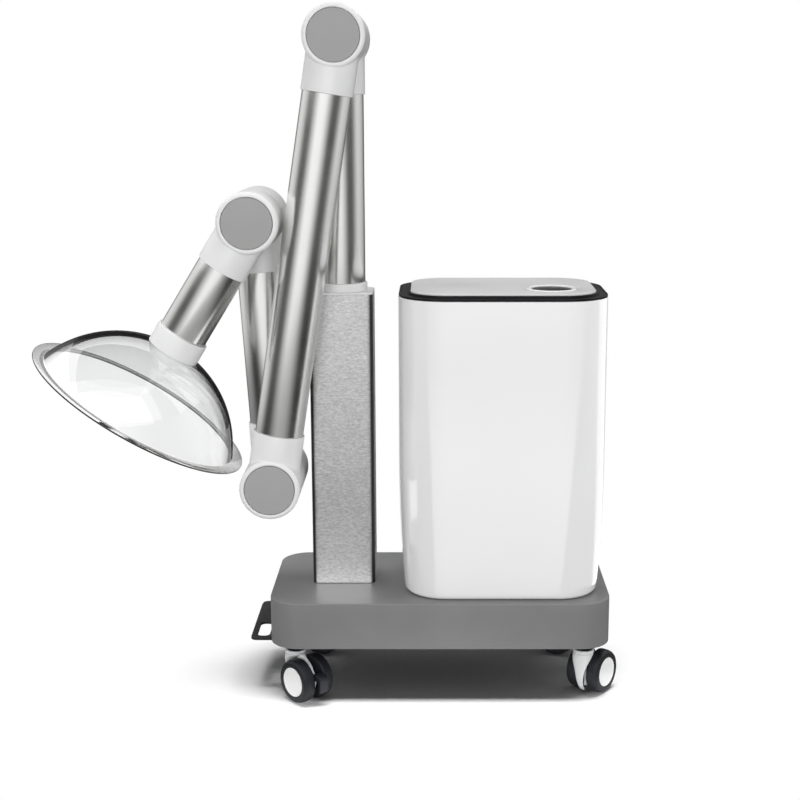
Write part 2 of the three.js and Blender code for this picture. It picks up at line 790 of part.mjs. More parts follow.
function impellerGeometry() {
  const low = blowerLow + impellerLift;
  const plateHigh = low + impellerPlate;
  const bore = around(motorShaftRadius + fit, roundSteps);
  const plate = turnedZ([
    [bore, low], [impellerRadius, low], [impellerRadius, plateHigh], [impellerHubRadius, plateHigh],
    [impellerHubRadius, low + impellerHeight], [bore, low + impellerHeight], [bore, low],
  ], roundSteps);
  const blades = [];
  for (let item = 0; item < impellerBladeCount; item += 1) {
    const blade = block(impellerBladeLength, impellerBladeThickness, low, low + impellerHeight,
      impellerRadius - impellerBladeSetback - impellerBladeLength / 2, 0);
    blades.push(blade.rotateZ(item / impellerBladeCount * 2 * Math.PI));
  }
  return join(plate, ...blades);
}

function makeGrille(middle) {
  const outside = towerDepth / 2 - fit;
  const plate = new THREE.BoxGeometry(grilleWidth, towerWall, grilleHeight);
  plate.translate(0, outside - towerWall / 2, middle);
  const span = grilleHeight - 2 * grilleFrame;
  const pitch = (span + grilleBar) / grilleBarCount;
  const slots = [];
  for (let item = 0; item < grilleBarCount; item += 1) {
    const low = middle - span / 2 + item * pitch;
    slots.push(block(grilleWidth - 2 * grilleFrame, 2 * (towerWall + overcut), low,
      low + pitch - grilleBar, 0, outside));
  }
  return piece('exhaust_grille', cut(plate, ...slots), finish.trimBlack);
}

// Caster: a fork that swivels on its stem and carries two wheels, its wheels trailing along -X
const axleHeight = wheelRadius;

function forkGeometry() {
  const stemTop = groundClearance - fit;
  const stemLow = stemTop - stemHeight;
  const stem = turnedZ(rod(stemRadius, stemLow, stemTop), roundSteps);
  const webTop = stemLow + stemOverlap;
  const shape = new THREE.Shape();
  shape.moveTo(stemRadius, webTop);
  shape.lineTo(-stemRadius, webTop);
  shape.lineTo(-casterTrail, axleHeight + forkHubRadius);
  shape.absarc(-casterTrail, axleHeight, forkHubRadius, Math.PI / 2, forkHubArcEnd, false);
  shape.lineTo(stemRadius, forkCrownBottom);
  const web = new THREE.ExtrudeGeometry(shape, {
    depth: 2 * forkHalfWidth,
    bevelEnabled: false,
    curveSegments: roundSteps,
  });
  web.rotateX(Math.PI / 2).translate(0, forkHalfWidth, 0);
  const axleReach = forkHalfWidth + wheelBoreDepth;
  const axle = turnedY(rod(axleRadius, -axleReach, axleReach), smallSteps);
  axle.translate(-casterTrail, 0, axleHeight);
  return join(stem, web, axle);
}

function pedalPinX() {
  const rise = pedalPinHeight - axleHeight;
  return -casterTrail - Math.sqrt((forkHubRadius + pedalEyeRadius + runningGap) ** 2 - rise ** 2);
}

// Wheel: closed by its hub cap outside, bored for the axle inside, flats of its tread tangent to
// the rolling circle
function wheelGeometry() {
  const tread = around(wheelRadius, wheelSteps);
  const bore = around(axleRadius + fit, wheelSteps);
  const profile = [
    [0, wheelBoreDepth], [bore, wheelBoreDepth], [bore, 0],
    [tread, 0], [tread, wheelWidth - wheelShoulder],
    [tread - wheelShoulder, wheelWidth], [hubCapRadius, wheelWidth],
    [hubCapRadius - hubCapRecess, wheelWidth - hubCapRecess], [0, wheelWidth - hubCapRecess],
  ];
  return turnedY(profile, wheelSteps).rotateY(Math.PI / wheelSteps);
}

function pedalGeometry() {
  const eye = turnedY(rod(pedalEyeRadius, -forkHalfWidth, forkHalfWidth), smallSteps);
  const lever = new THREE.BoxGeometry(pedalLength, 2 * forkHalfWidth, pedalThickness)
    .translate(-pedalLength / 2, 0, 0);
  const lip = new THREE.BoxGeometry(pedalThickness, 2 * forkHalfWidth, pedalHeight)
    .translate(-pedalLength + pedalThickness / 2, 0, -pedalHeight / 2 + pedalThickness / 2);
  return join(eye, lever, lip);
}

const casters = [
  { name: 'front_left', sideX: -1, sideY: -1, heading: 133, brake: true },
  { name: 'front_right', sideX: 1, sideY: -1, heading: 234, brake: true },
  { name: 'rear_left', sideX: -1, sideY: 1, heading: 190, brake: false },
  { name: 'rear_right', sideX: 1, sideY: 1, heading: 350, brake: false },
];

function makeCasters() {
  const fork = forkGeometry();
  const wheel = wheelGeometry();
  return casters.map(({ name, sideX, sideY, heading, brake }) => {
    const x = sideX * (baseWidth / 2 - casterInset);
    const y = sideY * (baseDepth / 2 - casterInset);
    const group = groupAt(x, y, 0);
    group.rotation.z = radians(heading);
    group.add(piece(`${name}_fork`, fork.clone(), finish.forkGrey));
    for (const [tag, side] of [['wheel_a', 1], ['wheel_b', -1]]) {
      const mesh = piece(`${name}_${tag}`, wheel.clone(), finish.tyreBlack);
      mesh.position.set(-casterTrail, side * (forkHalfWidth + runningGap), axleHeight);
      mesh.rotation.z = side > 0 ? 0 : Math.PI;
      group.add(mesh);
    }
    if (brake) {
      const pedal = piece(`${name}_pedal`, pedalGeometry(), finish.plateBlack);
      pedal.position.set(pedalPinX(), 0, pedalPinHeight);
      group.add(pedal);
    }
    return group;
  });
}

arm.add(makeBase(), makeColumn(), makeMast(), makeUpperArm(), makeForearm(), makeHoodArm());
arm.add(makeTower(), ...makeCasters());

// Every place above is measured from the middle of the base; the whole is then centred on its outline
const outline = new THREE.Box3().setFromObject(arm, true);
arm.position.x = -(outline.min.x + outline.max.x) / 2;
arm.position.y = -(outline.min.y + outline.max.y) / 2;

export default arm;
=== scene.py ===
import bmesh
import bpy
import json
import math
import numpy as np
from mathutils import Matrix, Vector


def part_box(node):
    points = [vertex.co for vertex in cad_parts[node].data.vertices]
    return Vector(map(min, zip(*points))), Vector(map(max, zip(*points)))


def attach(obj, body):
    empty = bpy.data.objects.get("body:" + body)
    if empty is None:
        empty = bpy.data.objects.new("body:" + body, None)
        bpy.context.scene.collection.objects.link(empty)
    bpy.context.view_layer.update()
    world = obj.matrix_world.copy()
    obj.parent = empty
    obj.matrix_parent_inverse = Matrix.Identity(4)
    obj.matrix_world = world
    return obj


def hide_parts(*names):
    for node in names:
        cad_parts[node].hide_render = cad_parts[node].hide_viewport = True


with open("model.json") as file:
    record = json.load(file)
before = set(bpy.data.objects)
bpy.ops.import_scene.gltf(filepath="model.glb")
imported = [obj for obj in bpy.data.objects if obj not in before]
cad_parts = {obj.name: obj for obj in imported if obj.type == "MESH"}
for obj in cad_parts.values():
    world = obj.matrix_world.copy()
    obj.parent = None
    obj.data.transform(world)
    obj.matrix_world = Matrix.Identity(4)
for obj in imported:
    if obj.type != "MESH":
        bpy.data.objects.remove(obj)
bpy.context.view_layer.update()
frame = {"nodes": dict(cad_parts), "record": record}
nodes = frame["nodes"]
deckLow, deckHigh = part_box("base_deck")
deckMid = np.array([(deckLow.x + deckHigh.x) / 2, (deckLow.y + deckHigh.y) / 2, 0.0])
print("frame loaded:", len(nodes), "nodes")

# Sizes below are millimetres from the floor under the middle of the base, -Y to the front.
tau = 2 * math.pi
mm = 0.001


def toRoom(points):  # from these millimetres to the frame's metres
    return np.asarray(points) * mm + deckMid


def newMesh(name, points, quads):  # from arrays of places and of corner numbers
    mesh = bpy.data.meshes.new(name)
    mesh.from_pydata(points.tolist(), [], quads.tolist())
    return mesh


def newObject(name, data):  # put into the scene, at the origin
    thing = bpy.data.objects.new(name, data)
    bpy.context.scene.collection.objects.link(thing)
    return thing


def feed(tree, node, inputs):  # each input gets a link from a socket, or else a plain value
    for name, value in inputs.items():
        if isinstance(value, bpy.types.NodeSocket):
            tree.links.new(value, node.inputs[name])
        else:
            node.inputs[name].default_value = value


def addNode(tree, kind, inputs, out=0, **settings):  # a fed node, and the output of it that is used
    node = tree.nodes.new("ShaderNode" + kind)
    for name, value in settings.items():
        setattr(node, name, value)
    feed(tree, node, inputs)
    return node.outputs[out]


def newMaterial(name, colour, rough, metal=0.0):  # one shader with plain values
    mat = bpy.data.materials.new(name)
    mat.use_nodes = True
    shader = mat.node_tree.nodes["Principled BSDF"]
    feed(mat.node_tree, shader, {"Base Color": (*colour, 1), "Roughness": rough, "Metallic": metal})
    return mat, mat.node_tree, shader


def grain(tree, scale, stretch=(1, 1, 1), detail=3.0, onUv=False, rough=0.5):  # noise on the piece's own coordinates
    coords = addNode(tree, "TexCoord", {}, "UV" if onUv else "Object")
    place = addNode(tree, "Mapping", {"Scale": stretch, "Vector": coords})
    return addNode(tree, "TexNoise", {"Scale": scale, "Detail": detail, "Roughness": rough, "Vector": place}, "Fac")


def spread(tree, fac, low, high, inLow=0.3, inHigh=0.7):  # a factor stretched to a range
    return addNode(tree, "MapRange", {"Value": fac, "From Min": inLow, "From Max": inHigh, "To Min": low,
                                      "To Max": high}, "Result")


def mixed(tree, fac, first, second):  # two colours mixed by a factor, each a plain one or a socket
    first, second = ((*colour, 1) if isinstance(colour, tuple) else colour for colour in (first, second))
    return addNode(tree, "Mix", {0: fac, 6: first, 7: second}, 2, data_type="RGBA")


def tones(tree, fac, dark, light, inLow=0.3, inHigh=0.7):  # from dark to light over a part of the factor's range
    return mixed(tree, spread(tree, fac, 0, 1, inLow, inHigh), dark, light)


def bumps(tree, fac, strength, distance):  # the factor as height
    return addNode(tree, "Bump", {"Strength": strength, "Distance": distance, "Height": fac}, "Normal")


def coated(name, dark, light, rough, roughSpread, cell, depth, shine=0.5, metal=0.0):
    # paint or moulded plastic: broad noise moves the tone and the roughness, and fine noise gives the grain
    mat, tree, shader = newMaterial(name, light, rough, metal)
    broad = grain(tree, 9, detail=4)
    feed(tree, shader, {"Specular IOR Level": shine, "Base Color": tones(tree, broad, dark, light),
                        "Roughness": spread(tree, broad, rough - roughSpread, rough + roughSpread),
                        "Normal": bumps(tree, grain(tree, cell, detail=2), 0.25, depth)})
    return mat


def grey(value):  # one value for red, green and blue
    return (value, value, value)


post = {"x": -166.5, "y": 6, "width": 108, "depth": 86, "corner": 12, "wall": 2.5, "low": 177.3, "high": 681.3,
        "corners": 10, "lidLow": 681.6, "lidHigh": 684.6, "lidEdge": 1.3, "lidIn": 9, "lidKeep": 2, "lidBlend": 6.5,
        "bore": 40.4, "collar": 43.4, "collarLow": 684.9, "collarHigh": 698.9, "around": 193}
postAt = np.array([post["x"], post["y"], 0])
# the corner tone and the ways over which it comes in give painted shade at the column's bent corners
steel = {"tone": (0.42, 0.78), "rough": (0.33, 0.5), "cornerShadeTone": 0.028, "cornerShadeFrom": 4.5, "cornerShadeTo": 7.5,
         "sideWeight": 7}


def makeBrushedSteel():
    # short level scratches, two sizes, on bare steel; the bent corners get painted shade, a darker tone standing in for
    # the dark reflection there, by the smaller of the ways past the flat faces' ends, with the way along Y weighted
    mat, tree, shader = newMaterial("brushedSteel", grey(0.6), 0.4, 0.5)
    long = grain(tree, 1, (180, 180, 560), 4, rough=0.65)
    short = grain(tree, 1, (500, 500, 2000), 2)
    flatEnds = [(post[side] / 2 - post["corner"]) * mm for side in ("width", "depth")]
    past = addNode(tree, "TexCoord", {}, "Object")
    for operation, value in (("SUBTRACT", tuple(toRoom(postAt))), ("ABSOLUTE", grey(0)), ("SUBTRACT", (*flatEnds, 0)),
                             ("MULTIPLY", (1, steel["sideWeight"], 1))):
        past = addNode(tree, "VectorMath", {0: past, 1: value}, operation=operation)
    x = addNode(tree, "SeparateXYZ", {0: past}, "X")
    least = addNode(tree, "Math", {0: x, 1: x.node.outputs["Y"]}, operation="MINIMUM")
    # painted shade: the scratched tone goes over to the dark corner tone at the bent corners
    bend = spread(tree, least, 0, 1, steel["cornerShadeFrom"] * mm, steel["cornerShadeTo"] * mm)
    scratched = tones(tree, long, *(grey(value) for value in steel["tone"]))
    feed(tree, shader, {"Base Color": mixed(tree, bend, scratched, grey(steel["cornerShadeTone"])),
                        "Roughness": spread(tree, short, *steel["rough"]), "Normal": bumps(tree, short, 0.35, 0.00015)})
    return mat


def makeTubeMetal():  # satin aluminium, a fine grain drawn a little along the turning marks
    mat, tree, shader = newMaterial("turnedTube", (0.95, 0.95, 0.935), 0.2, 1.0)
    marks = grain(tree, 1, (420, 1500, 1), 3, onUv=True, rough=0.7)
    feed(tree, shader, {"Base Color": tones(tree, marks, (0.84, 0.84, 0.825), (0.98, 0.98, 0.965)),
                        "Roughness": spread(tree, grain(tree, 14), 0.2, 0.26),
                        "Normal": bumps(tree, marks, 0.1, 0.00004)})
    return mat


def makeClearHood():
    # polished polycarbonate; its colour is darkened where the sheet is seen along its face, painted shade standing in
    # for the dark edges of a clear shell, and the flat rim is painted grey with a nearly black cut edge, painted shade
    # for how the rim looks seen along the sheet; the attribute flange runs from 0 on the dome to 1 on the flat rim and
    # 2 on the rim's cut edge
    mat, tree, shader = newMaterial("clearSheet", (0.93, 0.935, 0.935), 0.0)
    # painted shade: the colour goes dark where the sheet is seen edge on
    facing = addNode(tree, "LayerWeight", {"Blend": 0.5}, "Facing")
    sheet = addNode(tree, "ValToRGB", {"Fac": facing}, "Color")
    stops = sheet.node.color_ramp.elements
    stops[0].position, stops[0].color = 0.55, (0.93, 0.935, 0.935, 1)
    stops[1].position, stops[1].color = 0.74, (0.001, 0.001, 0.001, 1)
    stops.new(0.68).color = (0.45, 0.45, 0.455, 1)
    flange = addNode(tree, "Attribute", {}, "Fac", attribute_name="flange")
    # painted shade: the flat rim grey and its cut edge nearly black
    rim = tones(tree, flange, grey(0.46), grey(0.01), 1, 2)
    feed(tree, shader, {"Base Color": mixed(tree, spread(tree, flange, 0, 1, 0, 1), sheet, rim), "IOR": 1.58,
                        "Roughness": spread(tree, grain(tree, 30), 0.0, 0.02), "Transmission Weight": 1.0})
    return mat


def makeGlossWhite():  # lacquered shell, a faint ripple under the gloss
    mat, tree, shader = newMaterial("lacquerWhite", grey(0.83), 0.1)
    broad = grain(tree, 5, detail=2)
    feed(tree, shader, {"Base Color": tones(tree, broad, (0.85, 0.85, 0.852), grey(0.865)),
                        "Roughness": spread(tree, broad, 0.12, 0.18), "Coat Weight": 1.0, "Coat IOR": 2.1,
                        "Coat Roughness": 0.02, "Normal": bumps(tree, grain(tree, 220, detail=1), 0.04, 0.00005)})
    return mat


def makeFilterPaper():  # close pleats
    mat, tree, shader = newMaterial("pleatedPaper", (0.74, 0.71, 0.62), 0.9)
    coords = addNode(tree, "TexCoord", {}, "Object")
    wave = addNode(tree, "TexWave", {"Scale": 60, "Vector": coords}, "Fac")
    # painted shade: the pleats' low parts are painted darker, by the same wave that bumps them
    feed(tree, shader, {"Base Color": tones(tree, wave, (0.6, 0.57, 0.49), (0.8, 0.77, 0.68)),
                        "Normal": bumps(tree, wave, 0.8, 0.003)})
    return mat


coats = {  # dark and light tone, roughness and its spread, grain cells to a metre, their depth in metres, shine, metal
    "deck_grey": ("deckPaint", (0.19, 0.19, 0.192), (0.215, 0.215, 0.217), 0.42, 0.03, 900, 0.0002, 0.4),
    "plate_black": ("blackPowder", (0.018, 0.018, 0.019), (0.028, 0.028, 0.03), 0.55, 0.06, 1100, 0.0003, 0.18),
    "joint_white": ("satinWhite", (0.745, 0.745, 0.748), grey(0.77), 0.36, 0.04, 1500, 0.0001),
    "cap_grey": ("mattGrey", (0.335, 0.33, 0.33), (0.36, 0.355, 0.355), 0.62, 0.05, 1300, 0.0002, 0.3),
    "trim_black": ("trimBlack", (0.006, 0.006, 0.007), (0.012, 0.012, 0.013), 0.45, 0.05, 1400, 0.0001, 0.12),
    "panel_grey": ("panelGrey", grey(0.56), grey(0.6), 0.4, 0.05, 1600, 0.0001),
    "display_white": ("ringWhite", grey(0.88), grey(0.9), 0.2, 0.03, 1200, 0.00005),
    "lens_dark": ("smokedLens", (0.03, 0.031, 0.033), (0.05, 0.051, 0.054), 0.3, 0.05, 500, 0.00003, 0.08),
    "carbon_media": ("carbonGrain", grey(0.008), grey(0.035), 0.85, 0.08, 260, 0.004),
    "inner_metal": ("sheetMetal", (0.3, 0.31, 0.32), (0.4, 0.41, 0.42), 0.42, 0.1, 400, 0.0002, 0.5, 0.9),
    "motor_metal": ("motorPaint", (0.16, 0.17, 0.18), (0.22, 0.23, 0.24), 0.5, 0.08, 700, 0.0003),
    "caster_grey": ("casterGrey", (0.66, 0.665, 0.67), (0.72, 0.725, 0.73), 0.4, 0.05, 1300, 0.0002),
    "tyre_black": ("tyreBlack", (0.009, 0.0095, 0.012), (0.016, 0.017, 0.021), 0.5, 0.08, 900, 0.0004, 0.35),
    "pedal_black": ("pedalBlack", (0.01, 0.012, 0.016), (0.018, 0.02, 0.025), 0.42, 0.06, 1000, 0.0003, 0.4),
}
finishes = {slot: coated(*coat) for slot, coat in coats.items()}
finishes |= {"column_steel": makeBrushedSteel(), "tube_metal": makeTubeMetal(), "hood_clear": makeClearHood(),
             "tower_white": makeGlossWhite(), "filter_media": makeFilterPaper()}
for part in frame["record"]["subparts"]:  # every CAD node that stays gets its finish
    skin = nodes[part["node"]].data
    skin.materials.clear()
    skin.materials.append(finishes[part["material_slot"]])
print("finishes made:", len(finishes))


def rounded(points, radii, steps=5):
    # each corner of a bent line becomes an arc that leaves and meets its two sides at the radius's distance
    line = [np.array(p, float) for p in points]
    out = [line[0][None]]
    t = np.linspace(0, 1, steps + 1)[:, None]
    for before, corner, after, radius in zip(line, line[1:], line[2:], radii):
        a, b = before - corner, after - corner
        reach = min(radius, 0.49 * np.linalg.norm(a), 0.49 * np.linalg.norm(b))
        p, q = corner + a / np.linalg.norm(a) * reach, corner + b / np.linalg.norm(b) * reach
        out.append((1 - t) ** 2 * p + 2 * t * (1 - t) * corner + t ** 2 * q)
    return np.vstack([*out, line[-1][None]])


def closedRounded(points, radii, steps=5):  # the same for a closed line, one radius for each point
    line = rounded(points[-1:] + points + points[:1], radii, steps)[1:-1]
    return np.vstack([line, line[:1]])


def roundOutline(width, depth, radius, steps=14, backX=()):
    # four quarter arcs joined by straight sides, first point repeated at the end; backX adds points to the back side
    turn = np.arange(4)[:, None] * math.pi / 2 + np.linspace(0, math.pi / 2, steps + 1)
    sideX = np.array([1, -1, -1, 1])[:, None] * (width / 2 - radius)
    sideY = np.array([1, 1, -1, -1])[:, None] * (depth / 2 - radius)
    loop = np.stack([sideX + radius * np.cos(turn), sideY + radius * np.sin(turn)], -1).reshape(-1, 2)
    back = np.array([(place, depth / 2) for place in backX]).reshape(-1, 2)
    return np.vstack([loop[:steps + 1], back, loop[steps + 1:], loop[:1]])


def planOf(size, backX=()):  # a piece's outline, as a function of the inset that draws it in
    def outline(inset):
        return roundOutline(size["width"] - 2 * inset, size["depth"] - 2 * inset, size["corner"] - inset,
                            size["corners"], backX)
    return outline


def windowSheet(left, right, low, high, out, inside):
    # the four walls of a square window, from the outer face to the inner one
    corners = np.array([(left, low), (right, low), (right, high), (left, high), (left, low)])
    return np.array([np.stack([corners[:, 0], np.full(5, y), corners[:, 1]], 1) for y in (out, inside)])


def endsOf(middle, size):  # the two ends of a size laid about its middle
    return [middle - size / 2, middle + size / 2]


def rayLoop(loop, centre, angles):
    # where rays from a centre cross a closed outline, by the outline's own angles
    fine = loop[:-1, None] + (loop[1:] - loop[:-1])[:, None] * np.linspace(0, 1, 12)[None, :-1, None]
    fine = fine.reshape(-1, 2) - centre
    turn = np.arctan2(fine[:, 1], fine[:, 0]) % tau
    order = np.argsort(turn)
    return np.stack([np.interp(angles % tau, turn[order], way[order], period=tau) for way in fine.T], 1) + centre


fineSteps = 120  # the steps round a large drum, collar or ring


def lathe(profile, steps=96):
    # a [radius, height] line carried round the Z axis; u is the way round, v the way along the line
    radius, height = np.hsplit(np.asarray(profile, float), 2)
    turn = np.linspace(0, tau, steps + 1)
    return np.stack([radius * np.cos(turn), radius * np.sin(turn), height + 0 * turn], -1)


def atHeight(loop, height):  # a flat outline laid at a height
    return np.column_stack([loop, np.full(len(loop), height)])


def stack(outlineAt, profile):
    # an outline that shrinks by an inset at each height of an [inset, height] line
    return np.array([atHeight(outlineAt(inset), height) for inset, height in profile])


def ringSection(inside, outside, low, high, radii, steps, dip=0):
    # a ring's closed section, its four corners rounded, its top inner corner lowered by the dip
    return closedRounded([(inside, low), (outside, low), (outside, high), (inside, high - dip)], radii, steps)


def capped(rows):  # each end closed by a pole, its row drawn together to the middle
    poles = [np.repeat(((row[:-1].max(0) + row[:-1].min(0)) / 2)[None], len(row), 0) for row in (rows[0], rows[-1])]
    return np.concatenate([poles[:1], rows, poles[1:]])


def yAxis(rows):  # from a lathe about Z to one about Y, its height running to +Y
    x, y, z = np.moveaxis(rows, -1, 0)
    return np.stack([x, z, -y], -1)


def turned(rows, degrees):  # a turn about the upright axis
    c, s = math.cos(math.radians(degrees)), math.sin(math.radians(degrees))
    x, y, z = np.moveaxis(rows, -1, 0)
    return np.stack([x * c - y * s, x * s + y * c, z], -1)


def gridQuads(height, width):  # the corner numbers of each square of a grid
    index = np.arange(height * width).reshape(height, width)
    return np.stack([index[:-1, :-1], index[:-1, 1:], index[1:, 1:], index[1:, :-1]], -1)


seams = {"join": 2e-6, "collapse": 1e-6, "sharp": 38}  # metres and degrees


def addPiece(name, sheets, finish, body, replaced=(), holes=()):
    # grids of points become quads, without those of a hole in the first; equal points are merged, so seams and poles
    # close, and the UV map is the way round and the way along in metres
    points, quads, places, count = [], [], [], 0
    for number, rows in enumerate(sheets):
        height, width = rows.shape[:2]
        spokes = np.linalg.norm(rows - rows.mean(1)[:, None], axis=2).mean(1)
        steps = np.hypot(np.linalg.norm(np.diff(rows.mean(1), axis=0), axis=1), np.diff(spokes))
        along = np.concatenate([[0], np.cumsum(steps)])
        across = np.concatenate([[0], np.cumsum(np.linalg.norm(np.diff(rows, axis=1), axis=2).max(0))])
        faces = gridQuads(height, width)
        keep = np.ones(faces.shape[:2], bool)
        for row, column in holes if number == 0 else ():
            keep[row, column] = False
        points.append(toRoom(rows.reshape(-1, 3)))
        quads.append(faces[keep] + count)
        places.append(np.stack(np.broadcast_arrays(across[None], along[:, None]), -1).reshape(-1, 2) * mm)
        count += height * width
    points, quads, places = np.vstack(points), np.vstack(quads), np.vstack(places)
    mesh = newMesh(name, points, quads)
    mesh.uv_layers.new(name="surface").data.foreach_set("uv", places[quads.ravel()].ravel())
    build = bmesh.new()
    build.from_mesh(mesh)
    bmesh.ops.remove_doubles(build, verts=build.verts, dist=seams["join"])
    bmesh.ops.dissolve_degenerate(build, edges=build.edges, dist=seams["collapse"])
    bmesh.ops.recalc_face_normals(build, faces=build.faces)
    build.to_mesh(mesh)
    build.free()
    mesh.polygons.foreach_set("use_smooth", np.ones(len(mesh.polygons), bool))
    mesh.set_sharp_from_angle(angle=math.radians(seams["sharp"]))
    piece = newObject(name, mesh)
    mesh.materials.append(finishes[finish])
    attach(piece, body)
    if replaced:
        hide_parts(*replaced)
    return piece


deck = {"width": 576, "depth": 285, "corner": 50, "low": 97, "high": 177, "wall": 4, "top": 5, "edge": 2.2,
        "inEdge": 3, "lip": [0.8, 0.9], "roofIn": 30, "topIn": 40, "inletX": 150, "inletZ": 137,
        "inlet": (84.6, 34.6), "corners": 14}
inletSides, inletHeights = endsOf(deck["inletX"], deck["inlet"][0]), endsOf(deck["inletZ"], deck["inlet"][1])
deckOutline = planOf(deck, inletSides[::-1])


def makeDeck():
    # the plan carried along a line from under the roof, down inside the wall, round the lip and up to the top
    w, roof = deck["wall"], deck["high"] - deck["top"]
    within = [(w, z) for z in inletHeights[::-1]]
    outside = [(0, z) for z in inletHeights]
    top = rounded([(w + deck["roofIn"], roof), (w, roof), within[0]], [deck["inEdge"]])[:-1]
    lip = rounded([within[1], (w, deck["low"]), (0, deck["low"]), outside[0]], deck["lip"])[1:-1]
    edge = rounded([outside[1], (0, deck["high"]), (deck["topIn"], deck["high"])], [deck["edge"]])[1:]
    line = np.vstack([top, within, lip, outside, edge])
    first = 1 + len(top)  # one row is added before the line by its closed end
    second = first + 2 + len(lip)
    column = deck["corners"] + 1
    window = windowSheet(*inletSides, *inletHeights, deck["depth"] / 2, deck["depth"] / 2 - w)
    addPiece("deckShell", [capped(stack(deckOutline, line)), window], "deck_grey", "trolley", ["base_deck"],
             holes=[(first, column), (second, column)])


makeDeck()

handle = {"plate": {"width": 57, "depth": 190, "corner": 11, "corners": 14}, "plateMid": (-296.5, 5),
          "slot": {"width": 21, "depth": 66, "corner": 9, "corners": 14}, "slotMid": (-304.5, -44), "high": 96.7,
          "thick": 4, "edge": [(0.7, 0), (0.21, 0.21), (0, 0.7)], "around": 241}


def makeHandle():
    # rings between the plate's outline and the slot's, both seen from the slot's middle
    h = handle
    angles = np.linspace(0, tau, h["around"])
    plate, slot, mid = planOf(h["plate"]), planOf(h["slot"]), np.array(h["slotMid"])
    top, low = h["high"], h["high"] - h["thick"]
    climb = [(inset, low + rise) for inset, rise in h["edge"]]
    climb += [(inset, top - rise) for inset, rise in h["edge"][::-1]]
    rings = [atHeight(rayLoop(plate(inset) + h["plateMid"], mid, angles), z) for inset, z in climb]
    rings += [atHeight(rayLoop(slot(-inset) + mid, mid, angles), z) for inset, z in climb[::-1]]
    addPiece("sideHandle", [np.array(rings + rings[:1])], "plate_black", "trolley", ["side_handle"])


makeHandle()
print("base made")

postOutline = planOf(post)
postLine = closedRounded([(0, post["low"]), (0, post["high"]), (post["wall"], post["high"]),
                          (post["wall"], post["low"])], [0.5, 0.6, 0.6, 0.5], 3)
addPiece("steelColumn", [stack(postOutline, postLine) + postAt], "column_steel", "trolley", ["column"])


def makeColumnLid():
    # rings from the lid's outline to the round hole for the mast, mixed by the way in
    angles = np.linspace(0, tau, post["around"])
    circle = np.column_stack([np.cos(angles), np.sin(angles)]) * post["bore"]
    low, high, wide, kept = post["lidLow"], post["lidHigh"], post["lidIn"], post["lidKeep"]
    section = closedRounded([(0, low), (0, high), (wide, high), (wide, low)], [0.4, post["lidEdge"], 0.3, 0.3], 4)
    rows = []
    for inset, height in section:
        share = min(1, max(0, inset - kept) / post["lidBlend"])
        loop = rayLoop(postOutline(min(inset, kept)), np.zeros(2), angles) * (1 - share) + circle * share
        rows.append(atHeight(loop, height))
    addPiece("columnLid", [np.array(rows) + postAt], "joint_white", "trolley", ["column_cap"])


makeColumnLid()
collarLine = ringSection(post["bore"], post["collar"], post["collarLow"], post["collarHigh"], [0.4, 0.8, 1.6, 0.6], 4)
addPiece("mastCollar", [lathe(collarLine) + postAt], "joint_white", "mast", ["swivel_collar"])
print("column made")

arm = {"tube": 40, "wall": 2, "plane": 90, "drum": 50, "front": 44, "back": 44.7, "bore": 39.7, "edge": 5.5,
       "socket": 42.5, "reach": 90, "seat": 30, "cap": 41.3, "capSeat": 42.4, "capThick": 4, "gapDeep": 6,
       "setback": 0.6, "crown": 0.1, "lip": [(0.5, 0), (0.12, 0.12), (0, 0.5)], "fillet": 6, "filletLift": 1.6,
       "sink": 4, "sleeveFrom": 70, "fit": 0.35, "mastLow": 641.3, "hoodEnd": 222}
shoulderZ, upperLong, foreLong = 1099.5, 740, 440
upperLean, foreLean, hoodLean = math.radians(9), math.radians(3.45), math.radians(31.8)
shoulderAt = np.array([post["x"], post["y"], shoulderZ])
elbowAt = shoulderAt + upperLong * np.array([-math.sin(upperLean), 0, -math.cos(upperLean)])
wristAt = elbowAt + foreLong * np.array([-math.sin(foreLean), 0, math.cos(foreLean)])
links = {"mast": (postAt, 0.0, 0), "upper_arm": (shoulderAt, math.pi + upperLean, -arm["plane"]),
         "forearm": (elbowAt, -foreLean, 0), "hood_arm": (wristAt, math.pi + hoodLean, -arm["plane"])}


def onLink(rows, body):  # from a link's own axes, +Z along it: moved to its plane, turned about Y and moved to its end
    at, lean, plane = links[body]
    c, s = math.cos(lean), math.sin(lean)
    x, y, z = np.moveaxis(rows, -1, 0)
    return np.stack([x * c + z * s, y + plane, -x * s + z * c], -1) + at


def drumRadius(y):  # the drum is rounded to its front face on a quarter circle
    a = arm
    t = np.clip((-a["front"] + a["edge"] - y) / a["edge"], 0, 1)
    return a["drum"] - a["edge"] * (1 - np.sqrt(1 - t ** 2))


def drumSheet():
    # a section carried round the joint's axis: bore, back edge, quarter circle to the front, and the cap's seat
    a = arm
    turn = np.linspace(0, math.pi / 2, 9)
    face, seat = -a["front"], -a["front"] + a["gapDeep"]
    back = rounded([(a["bore"], a["back"]), (a["drum"], a["back"]), (a["drum"], 0)], [1.2], 4)[:-1]
    edge = np.stack([a["drum"] - a["edge"] * (1 - np.cos(turn)), face + a["edge"] * (1 - np.sin(turn))], 1)
    lip = [(a["capSeat"] + out, face + inward) for out, inward in a["lip"]]
    line = np.vstack([back, edge, lip, [(a["capSeat"], seat), (a["bore"], seat), (a["bore"], a["back"])]])
    return yAxis(lathe(line, fineSteps))


